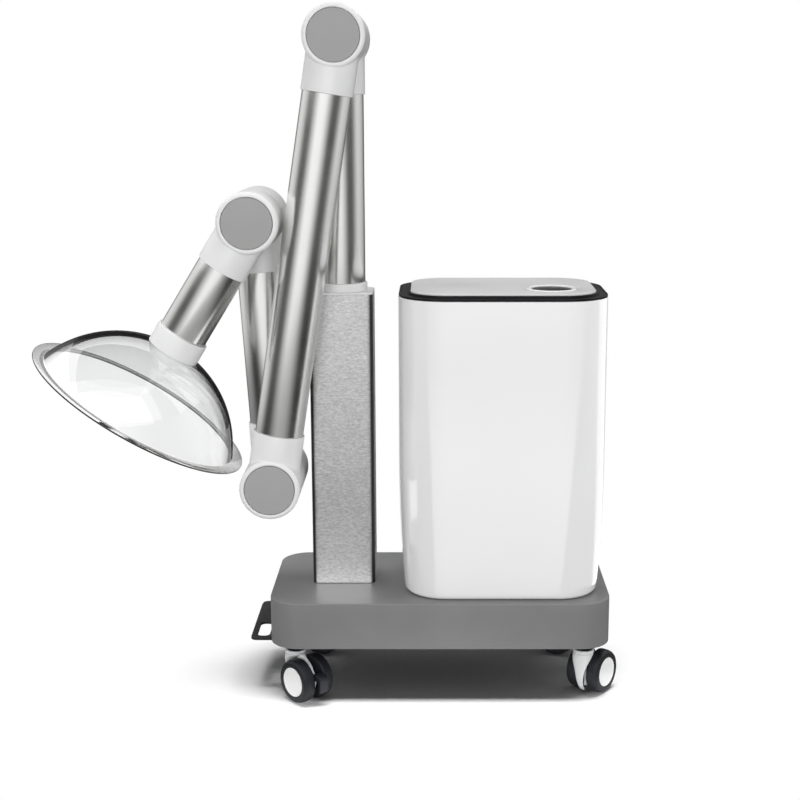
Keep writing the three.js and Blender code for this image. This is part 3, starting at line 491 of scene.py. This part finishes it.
def socketSheet():
    # a sleeve whose foot follows the drum: its radius grows by a quarter round over the last few millimetres
    a = arm
    turn = np.linspace(0, tau, fineSteps + 1)
    x, y = a["socket"] * np.cos(turn), a["socket"] * np.sin(turn)
    foot = np.sqrt(np.maximum(drumRadius(y) ** 2 - x ** 2, 0))
    lift = a["filletLift"] * (1 - np.abs(np.sin(turn)) ** 3)
    rise = np.concatenate([[-a["sink"]], a["fillet"] * np.linspace(0, 1, 8)])[:, None]
    grow = 1 - np.sqrt(1 - (1 - np.clip(rise / a["fillet"], 0, 1)) ** 2)
    bore = a["tube"] + a["fit"]
    end = rounded([(a["socket"], a["sleeveFrom"]), (a["socket"], a["reach"]), (bore, a["reach"]),
                   (bore, a["reach"] - a["seat"])], [1.6, 0.5], 4)
    radius = np.vstack([a["socket"] + lift * grow, np.repeat(end[:, :1], len(turn), 1)])
    height = np.vstack([foot + rise, np.repeat(end[:, 1:], len(turn), 1)])
    return np.stack([radius * np.cos(turn), radius * np.sin(turn), height], -1)


drumRows, socketRows = drumSheet(), socketSheet()
capFront = -arm["front"] + arm["setback"]
capBack = capFront + arm["capThick"]
capLine = rounded([(0, capFront + arm["crown"]), (arm["cap"], capFront), (arm["cap"], capBack),
                   (0, capBack)], [0.7, 0.4], 4)
capRows = yAxis(lathe(capLine, fineSteps))


def addJoint(name, body, along, down, node, capNode):
    # a drum with its sleeve, and the cap; a half turn points the face to the back or the sleeve down
    flipY, flipZ = 1 if links[body][2] else -1, -1 if down else 1
    drum, sleeve, cap = (onLink(rows * (flipY * flipZ, flipY, flipZ) + (0, 0, along), body)
                         for rows in (drumRows, socketRows, capRows))
    addPiece(name, [drum, sleeve], "joint_white", body, [node])
    addPiece(name + "Cap", [cap], "cap_grey", body, [capNode])


def addTube(name, body, low, high, node):  # a ring's section drawn out along the link and carried round it
    line = ringSection(arm["tube"] - arm["wall"], arm["tube"], low, high, [0.3, 0.5, 0.5, 0.3], 3)
    addPiece(name, [onLink(lathe(line, 128), body)], "tube_metal", body, [node])


inset = arm["reach"] - arm["seat"]
addTube("mastTube", "mast", arm["mastLow"], shoulderZ - inset, "mast_tube")
addTube("upperTube", "upper_arm", inset, upperLong - inset, "upper_tube")
addTube("foreTube", "forearm", inset, foreLong - inset, "forearm_tube")
addTube("hoodTube", "hood_arm", inset, arm["hoodEnd"], "hood_tube")
addJoint("mastHead", "mast", shoulderZ, True, "mast_elbow", "mast_elbow_cap")
addJoint("shoulderHead", "upper_arm", 0, False, "shoulder_elbow", "shoulder_cap")
addJoint("upperFoot", "upper_arm", upperLong, True, "upper_arm_elbow", "upper_arm_elbow_cap")
addJoint("foreFoot", "forearm", 0, False, "forearm_lower_elbow", "forearm_lower_cap")
addJoint("foreHead", "forearm", foreLong, True, "forearm_upper_elbow", "forearm_upper_cap")
addJoint("wristHead", "hood_arm", 0, False, "wrist_elbow", "wrist_cap")
print("arm made")

hood = {"neckLow": 226, "neck": 40, "wall": 3, "sphere": 191, "rim": 363, "base": 176, "flange": 194.5,
        "flangeThick": 2.6, "lip": [1.2, 1.2, 1.2, 0.9], "outTrim": (1.5, 1.2), "inTrim": (1, 0.8),
        "cutEdge": (1.3, 0.7), "collarLow": 216, "collar": 44, "collarBore": 40.4, "collarGap": 0.4, "collarDip": 0.6}
domeMid = hood["rim"] + math.sqrt(hood["sphere"] ** 2 - hood["base"] ** 2)


def domeLine(radius, fromRadius, toRadius, steps=40):  # an arc of the sphere's section
    turn = np.linspace(math.asin(fromRadius / radius), math.asin(toRadius / radius), steps)
    return np.stack([radius * np.sin(turn), domeMid - radius * np.cos(turn)], 1)


def makeHood():
    # a section of neck, dome and flat flange carried round the hood arm's axis; the way out from that axis gives the
    # attribute flange
    h = hood
    top = h["rim"] - h["flangeThick"]
    inSphere, inNeck = h["sphere"] - h["wall"], h["neck"] - h["wall"]
    outEnd = math.sqrt(h["sphere"] ** 2 - (domeMid - top) ** 2)
    inEnd = math.sqrt(inSphere ** 2 - (domeMid - h["rim"]) ** 2)
    outside = domeLine(h["sphere"], h["neck"] + h["outTrim"][0], outEnd - h["outTrim"][1])
    inside = domeLine(inSphere, inNeck + h["inTrim"][0], inEnd - h["inTrim"][1])[::-1]
    lip = rounded([outside[-1], (outEnd, top), (h["flange"], top), (h["flange"], h["rim"]), (inEnd, h["rim"]),
                   inside[0]], h["lip"], 5)
    neck = [(inNeck, h["neckLow"]), (h["neck"], h["neckLow"])]
    line = np.vstack([neck, outside, lip[1:-1], inside, neck[:1]])
    piece = addPiece("clearHood", [onLink(lathe(line, 160), "hood_arm")], "hood_clear", "hood_arm", ["hood"])
    piece.visible_shadow = piece.visible_glossy = False  # a clear sheet hardly shows in a shadow or in satin metal
    place = np.empty(3 * len(piece.data.vertices))
    piece.data.vertices.foreach_get("co", place)
    at, lean, plane = links["hood_arm"]
    spoke = (place.reshape(-1, 3) - deckMid) / mm - at - (0, plane, 0)
    axis = np.array([math.sin(lean), 0, math.cos(lean)])
    radius = np.linalg.norm(spoke - (spoke @ axis)[:, None] * axis, axis=1)
    cutFrom, cutTo = (h["flange"] - way for way in h["cutEdge"])
    share = np.interp(radius, [outEnd, outEnd + 1, cutFrom, cutTo], [0, 1, 1, 2])
    piece.data.attributes.new("flange", "FLOAT", "POINT").data.foreach_set("value", share)
    high = domeMid - math.sqrt(h["sphere"] ** 2 - h["collar"] ** 2) - h["collarGap"]
    ring = ringSection(h["collarBore"], h["collar"], h["collarLow"], high, [0.5, 1.8, 0.6, 0.3], 4, h["collarDip"])
    rows = onLink(lathe(ring, fineSteps), "hood_arm")
    addPiece("hoodCollar", [rows], "joint_white", "hood_arm", ["hood_collar"])


makeHood()
print("hood made")

tower = {"x": 104.5, "y": -5, "width": 347, "depth": 260, "corner": 80, "low": 177.3, "tall": 506, "wall": 4,
         "floor": 6, "tuck": 9, "tuckTall": 230, "foot": 7.5, "rim": [1.8, 0.6], "rimDeep": 60, "grille": (150.6, 84.6),
         "grilleZ": 512.5, "corners": 18}
grilleSides = endsOf(0, tower["grille"][0])
grilleHeights = endsOf(tower["grilleZ"] - tower["low"], tower["grille"][1])
towerAt = np.array([tower["x"], tower["y"], 0])
towerTop = tower["low"] + tower["tall"]
towerOutline = planOf(tower, grilleSides[::-1])


def tuckAt(height):  # drawn in by the square of the way down
    return tower["tuck"] * np.maximum(0, 1 - height / tower["tuckTall"]) ** 2


def makeTower():
    # the plan carried along a line: a quarter round foot, up the tucked side, over the rim and down inside
    w = tower
    turn = np.linspace(0, math.pi / 2, 8)
    footHigh = w["foot"] * (1 - np.cos(turn))
    foot = np.stack([tuckAt(footHigh) + w["foot"] * (1 - np.sin(turn)), footHigh], 1)
    climb = np.concatenate([np.linspace(w["foot"], w["tuckTall"], 16)[1:], grilleHeights])
    side = np.stack([tuckAt(climb), climb], 1)
    rimLow = w["tall"] - w["rimDeep"]
    rim = rounded([(0, rimLow), (0, w["tall"]), (w["wall"], w["tall"]), (w["wall"], rimLow)], w["rim"], 5)[1:-1]
    down = np.concatenate([grilleHeights[::-1], np.linspace(w["tuckTall"], w["floor"], 10)])
    within = np.stack([tuckAt(down) + w["wall"], down], 1)
    line = np.vstack([foot, side, rim, within])
    line[:, 1] += w["low"]
    first = len(foot) + len(side) - 1  # one row is added before the line by its closed end
    second = 1 + len(foot) + len(side) + len(rim)
    half = w["depth"] / 2
    window = windowSheet(*grilleSides, *(np.array(grilleHeights) + w["low"]), half, half - w["wall"])
    column = w["corners"] + 1
    addPiece("towerShell", [capped(stack(towerOutline, line)) + towerAt, window + towerAt], "tower_white", "trolley",
             ["tower_shell"], holes=[(first, column), (second, column)])


makeTower()
lid = {"gap": 0.3, "base": 2, "lipWide": 3, "lipTall": 1.3, "channel": 12.7, "slope": 0.8, "riserWide": 3.7,
       "riserTall": 5, "ledge": 14, "panel": 8, "panelEdge": 2.1, "panelIn": 6, "around": 361,
       "hole": [(12, 0), (0.5, 0), (0.15, 0.15), (0, 0.5)]}
display = {"at": (81, -43), "ring": 42, "bead": 38.8, "lens": 33, "rise": 1.5, "ringDeep": 9, "beadDip": 0.1,
           "bezelDeep": 7, "bezelFit": (0.35, 0.1), "lensDip": 0.3, "lensDeep": 6, "lensCrown": 0.3}
lidLow = towerTop + lid["gap"]
baseHigh = lidLow + lid["base"]
lipIn, lipHigh = lid["gap"] + lid["lipWide"], baseHigh + lid["lipTall"]
riserOut, riserHigh = lipIn + lid["channel"], baseHigh + lid["riserTall"]
riserIn = riserOut + lid["riserWide"]
panelLow = baseHigh + lid["gap"]
panelHigh = panelLow + lid["panel"]
trimLine = closedRounded([(riserIn + lid["ledge"], lidLow), (lid["gap"], lidLow), (lid["gap"], lipHigh),
                          (lipIn, lipHigh), (lipIn + lid["slope"], baseHigh), (riserOut - lid["slope"], baseHigh),
                          (riserOut, riserHigh), (riserIn, riserHigh), (riserIn, baseHigh),
                          (riserIn + lid["ledge"], baseHigh)], [0.3, 0.4, 0.7, 0.7, 0.8, 0.8, 0.7, 0.7, 0.3, 0.3], 4)
addPiece("topTrim", [stack(towerOutline, trimLine) + towerAt], "trim_black", "trolley", ["top_trim"])


def makePanel():
    # rings between the lid's outline and the display's round hole, both seen from the hole's middle
    angles = np.linspace(0, tau, lid["around"])
    mid = np.array(display["at"], float)
    circle = np.column_stack([np.cos(angles), np.sin(angles)])
    edgeIn, hole = riserIn + lid["gap"], display["ring"] + lid["gap"]

    def outer(inset, height):  # the lid's outline, drawn in
        return atHeight(rayLoop(towerOutline(edgeIn + inset), mid, angles), height)

    def inner(grow, height):  # the hole, let out
        return atHeight(circle * (hole + grow) + mid, height)

    edge = rounded([(0, panelLow), (0, panelHigh), (lid["panelIn"], panelHigh)], [lid["panelEdge"]], 6)
    rings = [outer(inset, z) for inset, z in edge]
    rings += [inner(grow, panelHigh - drop) for grow, drop in lid["hole"]]
    rings += [inner(0, panelLow), outer(0, panelLow)]
    addPiece("topPanel", [np.array(rings) + towerAt], "panel_grey", "trolley", ["top_panel"])


def makeDisplay():
    # three sections carried round the display's middle: the raised ring, the flat bezel and the lens with a low crown
    d = display
    at = towerAt + np.array([*d["at"], 0])
    ringHigh, lensHigh = panelHigh + d["rise"], panelHigh - d["lensDip"]
    ringLow, lensLow, bezelLow = ringHigh - d["ringDeep"], lensHigh - d["lensDeep"], panelHigh - d["bezelDeep"]
    ring = ringSection(d["bead"], d["ring"], ringLow, ringHigh, [0.3, 0.3, 1.4, 1.2], 5, d["beadDip"])
    addPiece("displayRing", [lathe(ring, fineSteps) + at], "display_white", "trolley", ["display_ring"])
    bezelIn, bezelOut = d["lens"] + d["bezelFit"][0], d["bead"] - d["bezelFit"][1]
    bezel = ringSection(bezelIn, bezelOut, bezelLow, panelHigh, [0.3, 0.3, 0.3, 0.5], 3)
    addPiece("displayBezel", [lathe(bezel, fineSteps) + at], "panel_grey", "trolley")
    lens = rounded([(0, lensLow), (d["lens"], lensLow), (d["lens"], lensHigh - d["lensCrown"]), (0, lensHigh)],
                   [0.3, 0.8], 4)
    addPiece("displayLens", [lathe(lens, fineSteps) + at], "lens_dark", "trolley", ["display_lens"])


makePanel()
makeDisplay()
print("tower made")

caster = {"x": 246, "y": 100.5, "trail": 28, "wheel": 37.5, "wide": 21, "half": 9, "gap": 0.5, "cap": 25, "bore": 6.4,
          "pin": (5.7, 23.5), "stem": 18, "stemLow": 82.5, "neck": 14.8, "neckSink": 0.5, "ringHigh": 96.6, "web": 4.6,
          "webHigh": 76.8, "webBend": 56, "webBack": 16, "webFront": -6, "webOver": 1.5, "webLow": 0.5,
          "bladeRear": 24.5, "pinRise": 48, "eyeFrom": 25, "eye": 6}
headings = {"front_left": (-1, -1, 133), "front_right": (1, -1, 234), "rear_left": (-1, 1, 190),
            "rear_right": (1, 1, 350)}  # side in X, side in Y and degrees
shell = {"height": [7.6, 8.5, 11, 15, 20, 25, 31, 37.5, 44, 50, 55, 60, 66, 71, 75, 82.5],
         "front": [1.5, 3, 6.2, 9.5, 12, 13.6, 14.8, 15.6, 16.2, 16.7, 17, 17.4, 17.8, 18, 18, 18],
         "rear": [-4.1, -2.7, -0.2, 3.3, 6.4, 8.6, 10.2, 10.8, 10.2, 8.6, 6.4, 3.3, -2.3, -8, -13.5, -18],
         "half": [2.4, 3.2, 4, 4.6, 5.2, 5.8, 6.6, 7.6, 9, 10.8, 12.6, 14.5, 16.5, 17.5, 18, 18],
         "groove": 77, "grooveRows": 0.8, "grooveHalf": 0.7, "grooveDeep": 1.5, "under": 75, "lip": 1.0}
pedal = {"outer": [(5.6, 1.4), (3.5, 5.2), (-3, 6), (-12, 5.2), (-18.2, 2.4), (-19, -6), (-18.4, -20), (-16.9, -23)],
         "inner": [(5.6, -1.4), (4, -4.6), (-2, -5.9), (-6, -3.8), (-12.8, -4.6), (-13.4, -14), (-13.8, -22.2),
                   (-14.6, -23.2)],
         "bend": 3, "thick": 4, "wide": 17.4, "corner": 0.9}


def levelOvals(front, rear, half, z, power=1.0):
    # an oval at each height between a front and a rear end, with closed ends; a power under 1 makes its sides flatter
    turn = np.linspace(0, tau, 73)
    x = ((front + rear) / 2)[:, None] + ((front - rear) / 2)[:, None] * np.cos(turn)
    y = half[:, None] * np.sign(np.sin(turn)) * np.abs(np.sin(turn)) ** power
    return capped(np.stack([x, y, np.repeat(z[:, None], len(turn), 1)], -1))


def shellSheet():
    # level ovals from a round collar down to a narrow tip in front of the wheels, with a groove under the collar
    c = shell
    top = c["height"][-1]
    z = np.concatenate([top - c["lip"] * np.array([0, 0.25, 1]), c["groove"] + c["grooveRows"] * np.linspace(1, -1, 5),
                        np.linspace(c["under"], c["height"][0], 30)])
    front, rear, half = (np.interp(z, c["height"], c[key]) for key in ("front", "rear", "half"))
    rise = np.clip((z - top) / c["lip"] + 1, 0, 1)
    inset = c["lip"] * (1 - np.sqrt(1 - rise ** 2))
    inset += c["grooveDeep"] * np.maximum(0, 1 - np.abs(z - c["groove"]) / c["grooveHalf"])
    return levelOvals(front - inset, rear + inset, half - inset, z)


def webSheet():
    # the plate between the wheels: level ovals with flat sides, round below the axle, drawn to the collar above
    c = caster
    z = np.linspace(c["webHigh"], c["wheel"] - c["bladeRear"] + c["webLow"], 34)
    front = np.minimum(np.interp(z, shell["height"], shell["rear"]) + c["webOver"], c["webFront"])
    rear = -c["trail"] - np.sqrt(np.maximum(c["bladeRear"] ** 2 - (z - c["wheel"]) ** 2, 0))
    t = np.clip((z - c["webBend"]) / (c["stemLow"] - c["webBend"]), 0, 1)
    ease = t * t * (3 - 2 * t)
    rear = np.where(z > c["webBend"], (-c["trail"] - c["webBack"]) * (1 - ease) - c["stem"] * ease, rear)
    return levelOvals(front, rear, np.full(len(z), c["web"]), z, 0.6)


def tyreSheet():
    # the tyre's section, with a crowned tread, a full outer shoulder and a seat for the hub cap, carried round the axle
    bore, tread, side, seat = caster["bore"], caster["wheel"], caster["wide"], caster["cap"] + caster["gap"]
    line = closedRounded([(bore, 0.2), (tread, 0.2), (tread, 8), (tread - 0.4, 15), (tread - 3, side), (27.2, side),
                          (seat, side - 0.4), (seat, side - 3), (bore, side - 3)],
                         [0.5, 3.2, 4, 5, 5, 1.0, 0.4, 0.3, 0.3], 5)
    return yAxis(lathe(line))


def hubSheet():
    # the hub cap's section, a narrow rim round a shallow dish, carried round the axle
    rim, side = caster["cap"], caster["wide"]
    line = rounded([(0, side - 2.8), (rim, side - 2.8), (rim, side - 0.2), (rim - 2.2, side), (rim - 2.9, side - 0.5),
                    (0, side - 0.1)], [0.3, 0.7, 0.5, 0.6], 4)
    return yAxis(lathe(line))


def evenly(line, steps=44):  # points at equal distances along a bent line with rounded corners
    bend = rounded(line, [pedal["bend"]] * (len(line) - 2), 4)
    along = np.concatenate([[0], np.cumsum(np.linalg.norm(np.diff(bend, axis=0), axis=1))])
    share = np.linspace(0, along[-1], steps)
    return np.stack([np.interp(share, along, way) for way in bend.T], 1)


def pedalSheet():
    # a rounded section carried from the eye to the tip, as thick as the way between an outer and an inner line
    outer, inner = evenly(pedal["outer"]), evenly(pedal["inner"])
    section = roundOutline(pedal["thick"], pedal["wide"], pedal["corner"], 4)
    middle, across = (outer + inner) / 2, (outer - inner) / pedal["thick"]
    flat = middle[:, None] + across[:, None] * section[None, :, :1]
    return capped(np.stack([flat[..., 0], np.repeat(section[None, :, 1], len(outer), 0), flat[..., 1]], -1))


def addCaster(name, sideX, sideY, heading):
    # a caster in its own axes, its wheels behind to -X, turned to its heading and moved to its corner
    c = caster
    at = np.array([sideX * c["x"], sideY * c["y"], 0])
    body = name + "_caster"
    ends = name.split("_")
    tag = ends[0] + ends[1].title()

    def settle(rows):  # to its heading and corner
        return turned(rows, heading) + at

    axle = np.array([-c["trail"], 0, c["wheel"]])
    thick, long = c["pin"]
    pin = yAxis(lathe([(0, -long), (thick, -long), (thick, long), (0, long)], 40)) + axle
    addPiece(tag + "Fork", [settle(rows) for rows in (shellSheet(), webSheet(), pin)], "caster_grey", body,
             [name + "_fork"])
    neckLow, neckHigh = c["stemLow"] - c["neckSink"], c["ringHigh"]
    neck = rounded([(0, neckLow), (c["neck"], neckLow), (c["neck"], neckHigh), (0, neckHigh)], [0.3, 0.5], 3)
    addPiece(tag + "Washer", [settle(lathe(neck, 60))], "trim_black", body)
    for letter, side in (("a", 1), ("b", -1)):
        wheel = f"{name}_wheel_{letter}"
        flip = np.array([side, side, 1])
        shift = axle + np.array([0, side * (c["half"] + c["gap"]), 0])
        addPiece(f"{tag}Tyre{letter.upper()}", [settle(tyreSheet() * flip + shift)], "tyre_black", wheel, [wheel])
        addPiece(f"{tag}Hub{letter.upper()}", [settle(hubSheet() * flip + shift)], "display_white", wheel)
    if sideY < 0:  # the front casters have a brake
        reach = math.sqrt((c["eyeFrom"] + c["eye"] + c["gap"]) ** 2 - (c["pinRise"] - c["wheel"]) ** 2)
        move = np.array([-c["trail"] - reach, 0, c["pinRise"]])
        addPiece(tag + "Pedal", [settle(pedalSheet() + move)], "pedal_black", name + "_pedal", [name + "_pedal"])


for name, place in headings.items():
    addCaster(name, *place)
print("casters made")

softEdge = {"join": 0.00002, "width": 0.0006, "segments": 2}
for name in ("power_inlet", "mains_switch", "exhaust_grille", "floor_plate"):  # flat pieces keep their solids
    weld = nodes[name].modifiers.new("weld", "WELD")
    weld.merge_threshold = softEdge["join"]
    soft = nodes[name].modifiers.new("edges", "BEVEL")
    soft.width, soft.segments, soft.limit_method = softEdge["width"], softEdge["segments"], "ANGLE"
print("flat pieces softened")

room = {"half": 30, "floor": 0.94, "cloud": 0.005, "ambient": 0.16, "fadeFrom": 1.0, "fadeTo": 1.55,
        "reach": (0.31, 0.165)}


def brighten(tree):
    # a level for light that bounces, and another where the camera, a reflection or the clear hood looks at it
    seen = addNode(tree, "LightPath", {}, "Is Camera Ray")
    rays = seen.node.outputs
    for ray in ("Is Glossy Ray", "Is Transmission Ray"):
        seen = addNode(tree, "Math", {0: seen, 1: rays[ray]}, operation="MAXIMUM")
    return spread(tree, seen, room["ambient"], 1, 0, 1)


def levelCard(left, right, front, back, high):  # the four corners of a level card
    return np.array([(left, front, high), (right, front, high), (right, back, high), (left, back, high)])


def makeFloor():
    # pale near the base, where the shadow lies, and plain white further out: an oval's own radius drives the change
    far = room["half"]
    mesh = newMesh("floor", levelCard(-far, far, -far, far, 0), np.arange(4)[None])
    floor = newObject("floor", mesh)
    mat, tree, shader = newMaterial("paleFloor", grey(room["floor"]), 0.9)
    cloud = tones(tree, grain(tree, 2), grey(room["floor"] - room["cloud"]), grey(room["floor"]))
    feed(tree, shader, {"Specular IOR Level": 0.0, "Base Color": cloud})
    coords = addNode(tree, "TexCoord", {}, "Object")
    oval = addNode(tree, "Mapping", {"Location": tuple(deckMid), "Scale": (*room["reach"], 1), "Vector": coords},
                   vector_type="TEXTURE")
    radius = addNode(tree, "VectorMath", {0: oval}, "Value", operation="LENGTH")
    away = spread(tree, radius, 0, 1, room["fadeFrom"], room["fadeTo"])
    white = addNode(tree, "Emission", {"Color": (1, 1, 1, 1), "Strength": brighten(tree)})
    mix = addNode(tree, "MixShader", {0: away, 1: shader.outputs[0], 2: white})
    feed(tree, tree.nodes["Material Output"], {"Surface": mix})
    mesh.materials.append(mat)
    return floor


def makeWorld():  # plain white where it is looked at, and a low even light
    world = bpy.data.worlds.new("studio")
    world.use_nodes = True
    tree = world.node_tree
    feed(tree, tree.nodes["Background"], {"Color": (1, 1, 1, 1), "Strength": brighten(tree)})
    bpy.context.scene.world = world


def linkLight(source, piece, alone):  # the piece alone has the light, or all others have
    group = bpy.data.collections.new(source.name + "Lit")
    group.objects.link(piece)
    group.collection_objects[0].light_linking.link_state = "INCLUDE" if alone else "EXCLUDE"
    source.light_linking.receiver_collection = group


def addLamp(name, at, aim, size, watts, floor, floorOnly):  # a square lamp turned to its aim
    data = bpy.data.lights.new(name, "AREA")
    data.shape, data.size, data.size_y, data.energy = "RECTANGLE", size[0], size[1], watts
    lamp = newObject(name, data)
    lamp.location = at
    lamp.rotation_mode = "QUATERNION"
    lamp.rotation_quaternion = (Vector(aim) - Vector(at)).to_track_quat("-Z", "Y")
    lamp.visible_glossy = lamp.visible_transmission = False
    linkLight(lamp, floor, floorOnly)  # the floor and the object are lit apart, so that the shadow stays under the base


def addCards(name, points, quads, level, piece, alone):
    # glowing cards, seen only in reflections: the piece alone has the glow and the rest looks through, or all others
    mesh = newMesh(name, points, quads)
    mesh.attributes.new("level", "FLOAT", "POINT").data.foreach_set("value", level)
    cards = newObject(name, mesh)
    mat, tree, _ = newMaterial(name, grey(0), 1)
    surface = addNode(tree, "Emission", {"Strength": addNode(tree, "Attribute", {}, "Fac", attribute_name="level")})
    if alone:
        surface = addNode(tree, "AddShader", {0: surface, 1: addNode(tree, "BsdfTransparent", {})})
    feed(tree, tree.nodes["Material Output"], {"Surface": surface})
    linkLight(cards, bpy.data.objects[piece], alone)
    mesh.materials.append(mat)
    cards.visible_camera = cards.visible_diffuse = cards.visible_shadow = cards.visible_transmission = False


def addBowl(name, reach, height, turn, level, card, cardLevel, alone):
    # rings round the base, each point at its ring's reach and height and its own turn from the front, and a flat card
    reach, height = np.array(reach)[:, None], np.array(height)[:, None]
    rings = np.stack([reach * np.sin(turn), -reach * np.cos(turn), height + 0 * turn], -1).reshape(-1, 3) + deckMid
    quads = np.vstack([gridQuads(*level.shape).reshape(-1, 4), level.size + np.arange(4)])
    level = np.append(level.ravel(), [cardLevel] * 4)
    addCards(name, np.vstack([rings, card]), quads, level, "towerShell", alone)


around = np.arange(0, 362, 2) - 180.0  # degrees from the front
studio = {"turn": [-180, -150, -125, -98, -73, -53, -23, 5, 37, 61, 92, 120, 142, 160],
          "level": [0.03, 0.06, 0.8, 0.65, 0.09, 0.1, 1.0, 0.97, 0.09, 0.09, 0.72, 0.6, 0.35, 0.03],
          "reach": [0.36, 0.62, 0.9, 1.4, 2.4, 3.4], "shade": [0.36, 0.36, 0.34, 0.4, 0.55, 0.95], "low": 0.006,
          "tall": 2.4, "step": 0.01, "dimTurn": [-160, -140, -65, -40, 40, 75, 150, 170],
          "dim": [1, 0.68, 0.68, 1, 1, 0.68, 0.68, 1], "above": 6.2, "aboveTurn": [46, 48, 84, 86],
          "aboveLevel": [1.9, 0.03, 0.03, 1.9], "ceiling": (-1.88, 1.16, -1.3, 2.27, 3.3), "ceilingLevel": 0.03}


def makeStudio():
    # a bowl for all but the tower: its level goes by the turn from the front, and falls off along the floor
    w = studio
    reach = w["reach"] + w["reach"][-1:] * 3
    height = [w["low"]] * len(w["reach"]) + [w["tall"], w["tall"] + w["step"], w["above"]]
    low = np.array(w["shade"] + [1.0])[:, None] * np.interp(around, w["turn"], w["level"], period=360)
    low[:-2] *= np.interp(around, w["dimTurn"], w["dim"])
    above = np.interp(around, w["aboveTurn"], w["aboveLevel"])
    level = np.vstack([low, above, above])
    addBowl("studioCards", reach, height, np.radians(around), level, levelCard(*w["ceiling"]), w["ceilingLevel"], False)


gloss = {"turn": [-180, -166, -158, -140, -125, -100, -70, -42, -40, 0, 50, 52, 60, 96, 101, 103, 138, 144, 165, 180],
         "level": [0.1, 0.1, 0.9, 1.6, 1.2, 0.7, 0.45, 0.3, 0.82, 0.82, 0.82, 0.32, 0.38, 0.85, 0.9, 1.6, 1.6, 0.8, 0.5,
                   0.2],
         "reach": [0.35, 0.6, 1.0, 1.7, 2.4, 3.3], "shade": [0.7, 0.95, 1.05, 1.05, 0.9, 0.7], "low": 0.02, "tall": 2.3,
         "edges": (-41, 51), "still": (-75, 95), "left": [22, 25, 30, 35, 42, 46], "right": [30, 30, 32, 37, 46, 55],
         "strip": ((-900, -317), (-900, 60), 22, 143), "stripLevel": 0.8}


def makeGlossCards():
    # the lacquered tower has a bowl of its own: the front card's two edges lean out with the reach, by moved columns
    w = gloss
    reach, shade, left, right = (w[key] + w[key][-1:] for key in ("reach", "shade", "left", "right"))
    height = [w["low"]] * len(w["reach"]) + [w["tall"]]
    (leftEdge, rightEdge), (leftStill, rightStill) = w["edges"], w["still"]
    knots = [-180, leftStill, leftEdge, rightEdge, rightStill, 180]
    turn = np.radians([np.interp(around, knots, [-180, leftStill, -near, far, rightStill, 180])
                       for near, far in zip(left, right)])
    front = (around > leftEdge) & (around < rightEdge)
    level = np.interp(around, w["turn"], w["level"]) * np.where(front, np.array(shade)[:, None], 1)
    start, end, low, high = w["strip"]
    strip = toRoom([(*start, low), (*end, low), (*end, high), (*start, high)])
    addBowl("towerCards", reach, height, turn, level, strip, w["stripLevel"], True)


footGlow = {"side": 62, "reach": 95, "gap": 1, "rise": 1.2, "level": 0.9, "tall": 130, "sheen": 1.3}


def makeFootGlow():
    # at the column's foot, a lying card for the steel that fades away from it, and an upright one for the deck's sheen
    w = footGlow
    near, low = post["y"] - post["depth"] / 2 - w["gap"], post["low"]
    lying = levelCard(-w["side"], w["side"], near, near - w["reach"], low + w["rise"])
    half, high = (post["width"] - post["corner"]) / 2, low + w["tall"]
    standing = [(-half, near, low), (half, near, low), (half, near, high), (-half, near, high)]
    for name, corners, level, piece in (("deckGlow", lying, [w["level"], w["level"], 0, 0], "steelColumn"),
                                        ("steelGlow", standing, [w["sheen"]] * 4, "deckShell")):
        points = toRoom(np.array(corners) + (post["x"], 0, 0))
        addCards(name, points, np.arange(4)[None], level, piece, True)


lamps = {  # place, aim and size in metres, and watts
    "front": ((0.3, -3.6, 0.65), (0.1, 0, 0.4), (2.6, 2.2), 86),
    "leftFill": ((-3.1, -1.9, 0.9), (0, 0, 0.35), (1.6, 2.4), 54),
    "rightFill": ((3.3, -1.7, 0.9), (0.1, 0, 0.35), (1.6, 2.4), 54),
    "overhead": ((0, 0.65, 8), (0, 0, 0.2), (4.4, 4.4), 456),
    "back": ((-1.8, 3.3, 0.8), (0.1, 0, 0.4), (2.4, 2), 82),
    "floorWash": ((0.3, -0.24, 3), (0.3, -0.1, 0), (2.4, 1), 165),
}
floor = makeFloor()
makeWorld()
makeStudio()
makeGlossCards()
makeFootGlow()
for name, lamp in lamps.items():
    addLamp(name, *lamp, floor, name == "floorWash")

eye = {"place": (-6.8, -2442.5, 1000), "pitch": 11.68, "lens": 65.25, "sensor": 36, "shift": -0.045, "far": 100}
camera = bpy.data.cameras.new("camera")
camera.lens, camera.sensor_width, camera.shift_x = eye["lens"], eye["sensor"], eye["shift"]
camera.clip_end = eye["far"]
cameraObject = newObject("camera", camera)
cameraObject.location = toRoom(eye["place"])
cameraObject.rotation_euler = (math.radians(90 - eye["pitch"]), 0, 0)
bpy.context.scene.camera = cameraObject
bpy.context.scene.view_settings.view_transform = "Standard"
print("room made")
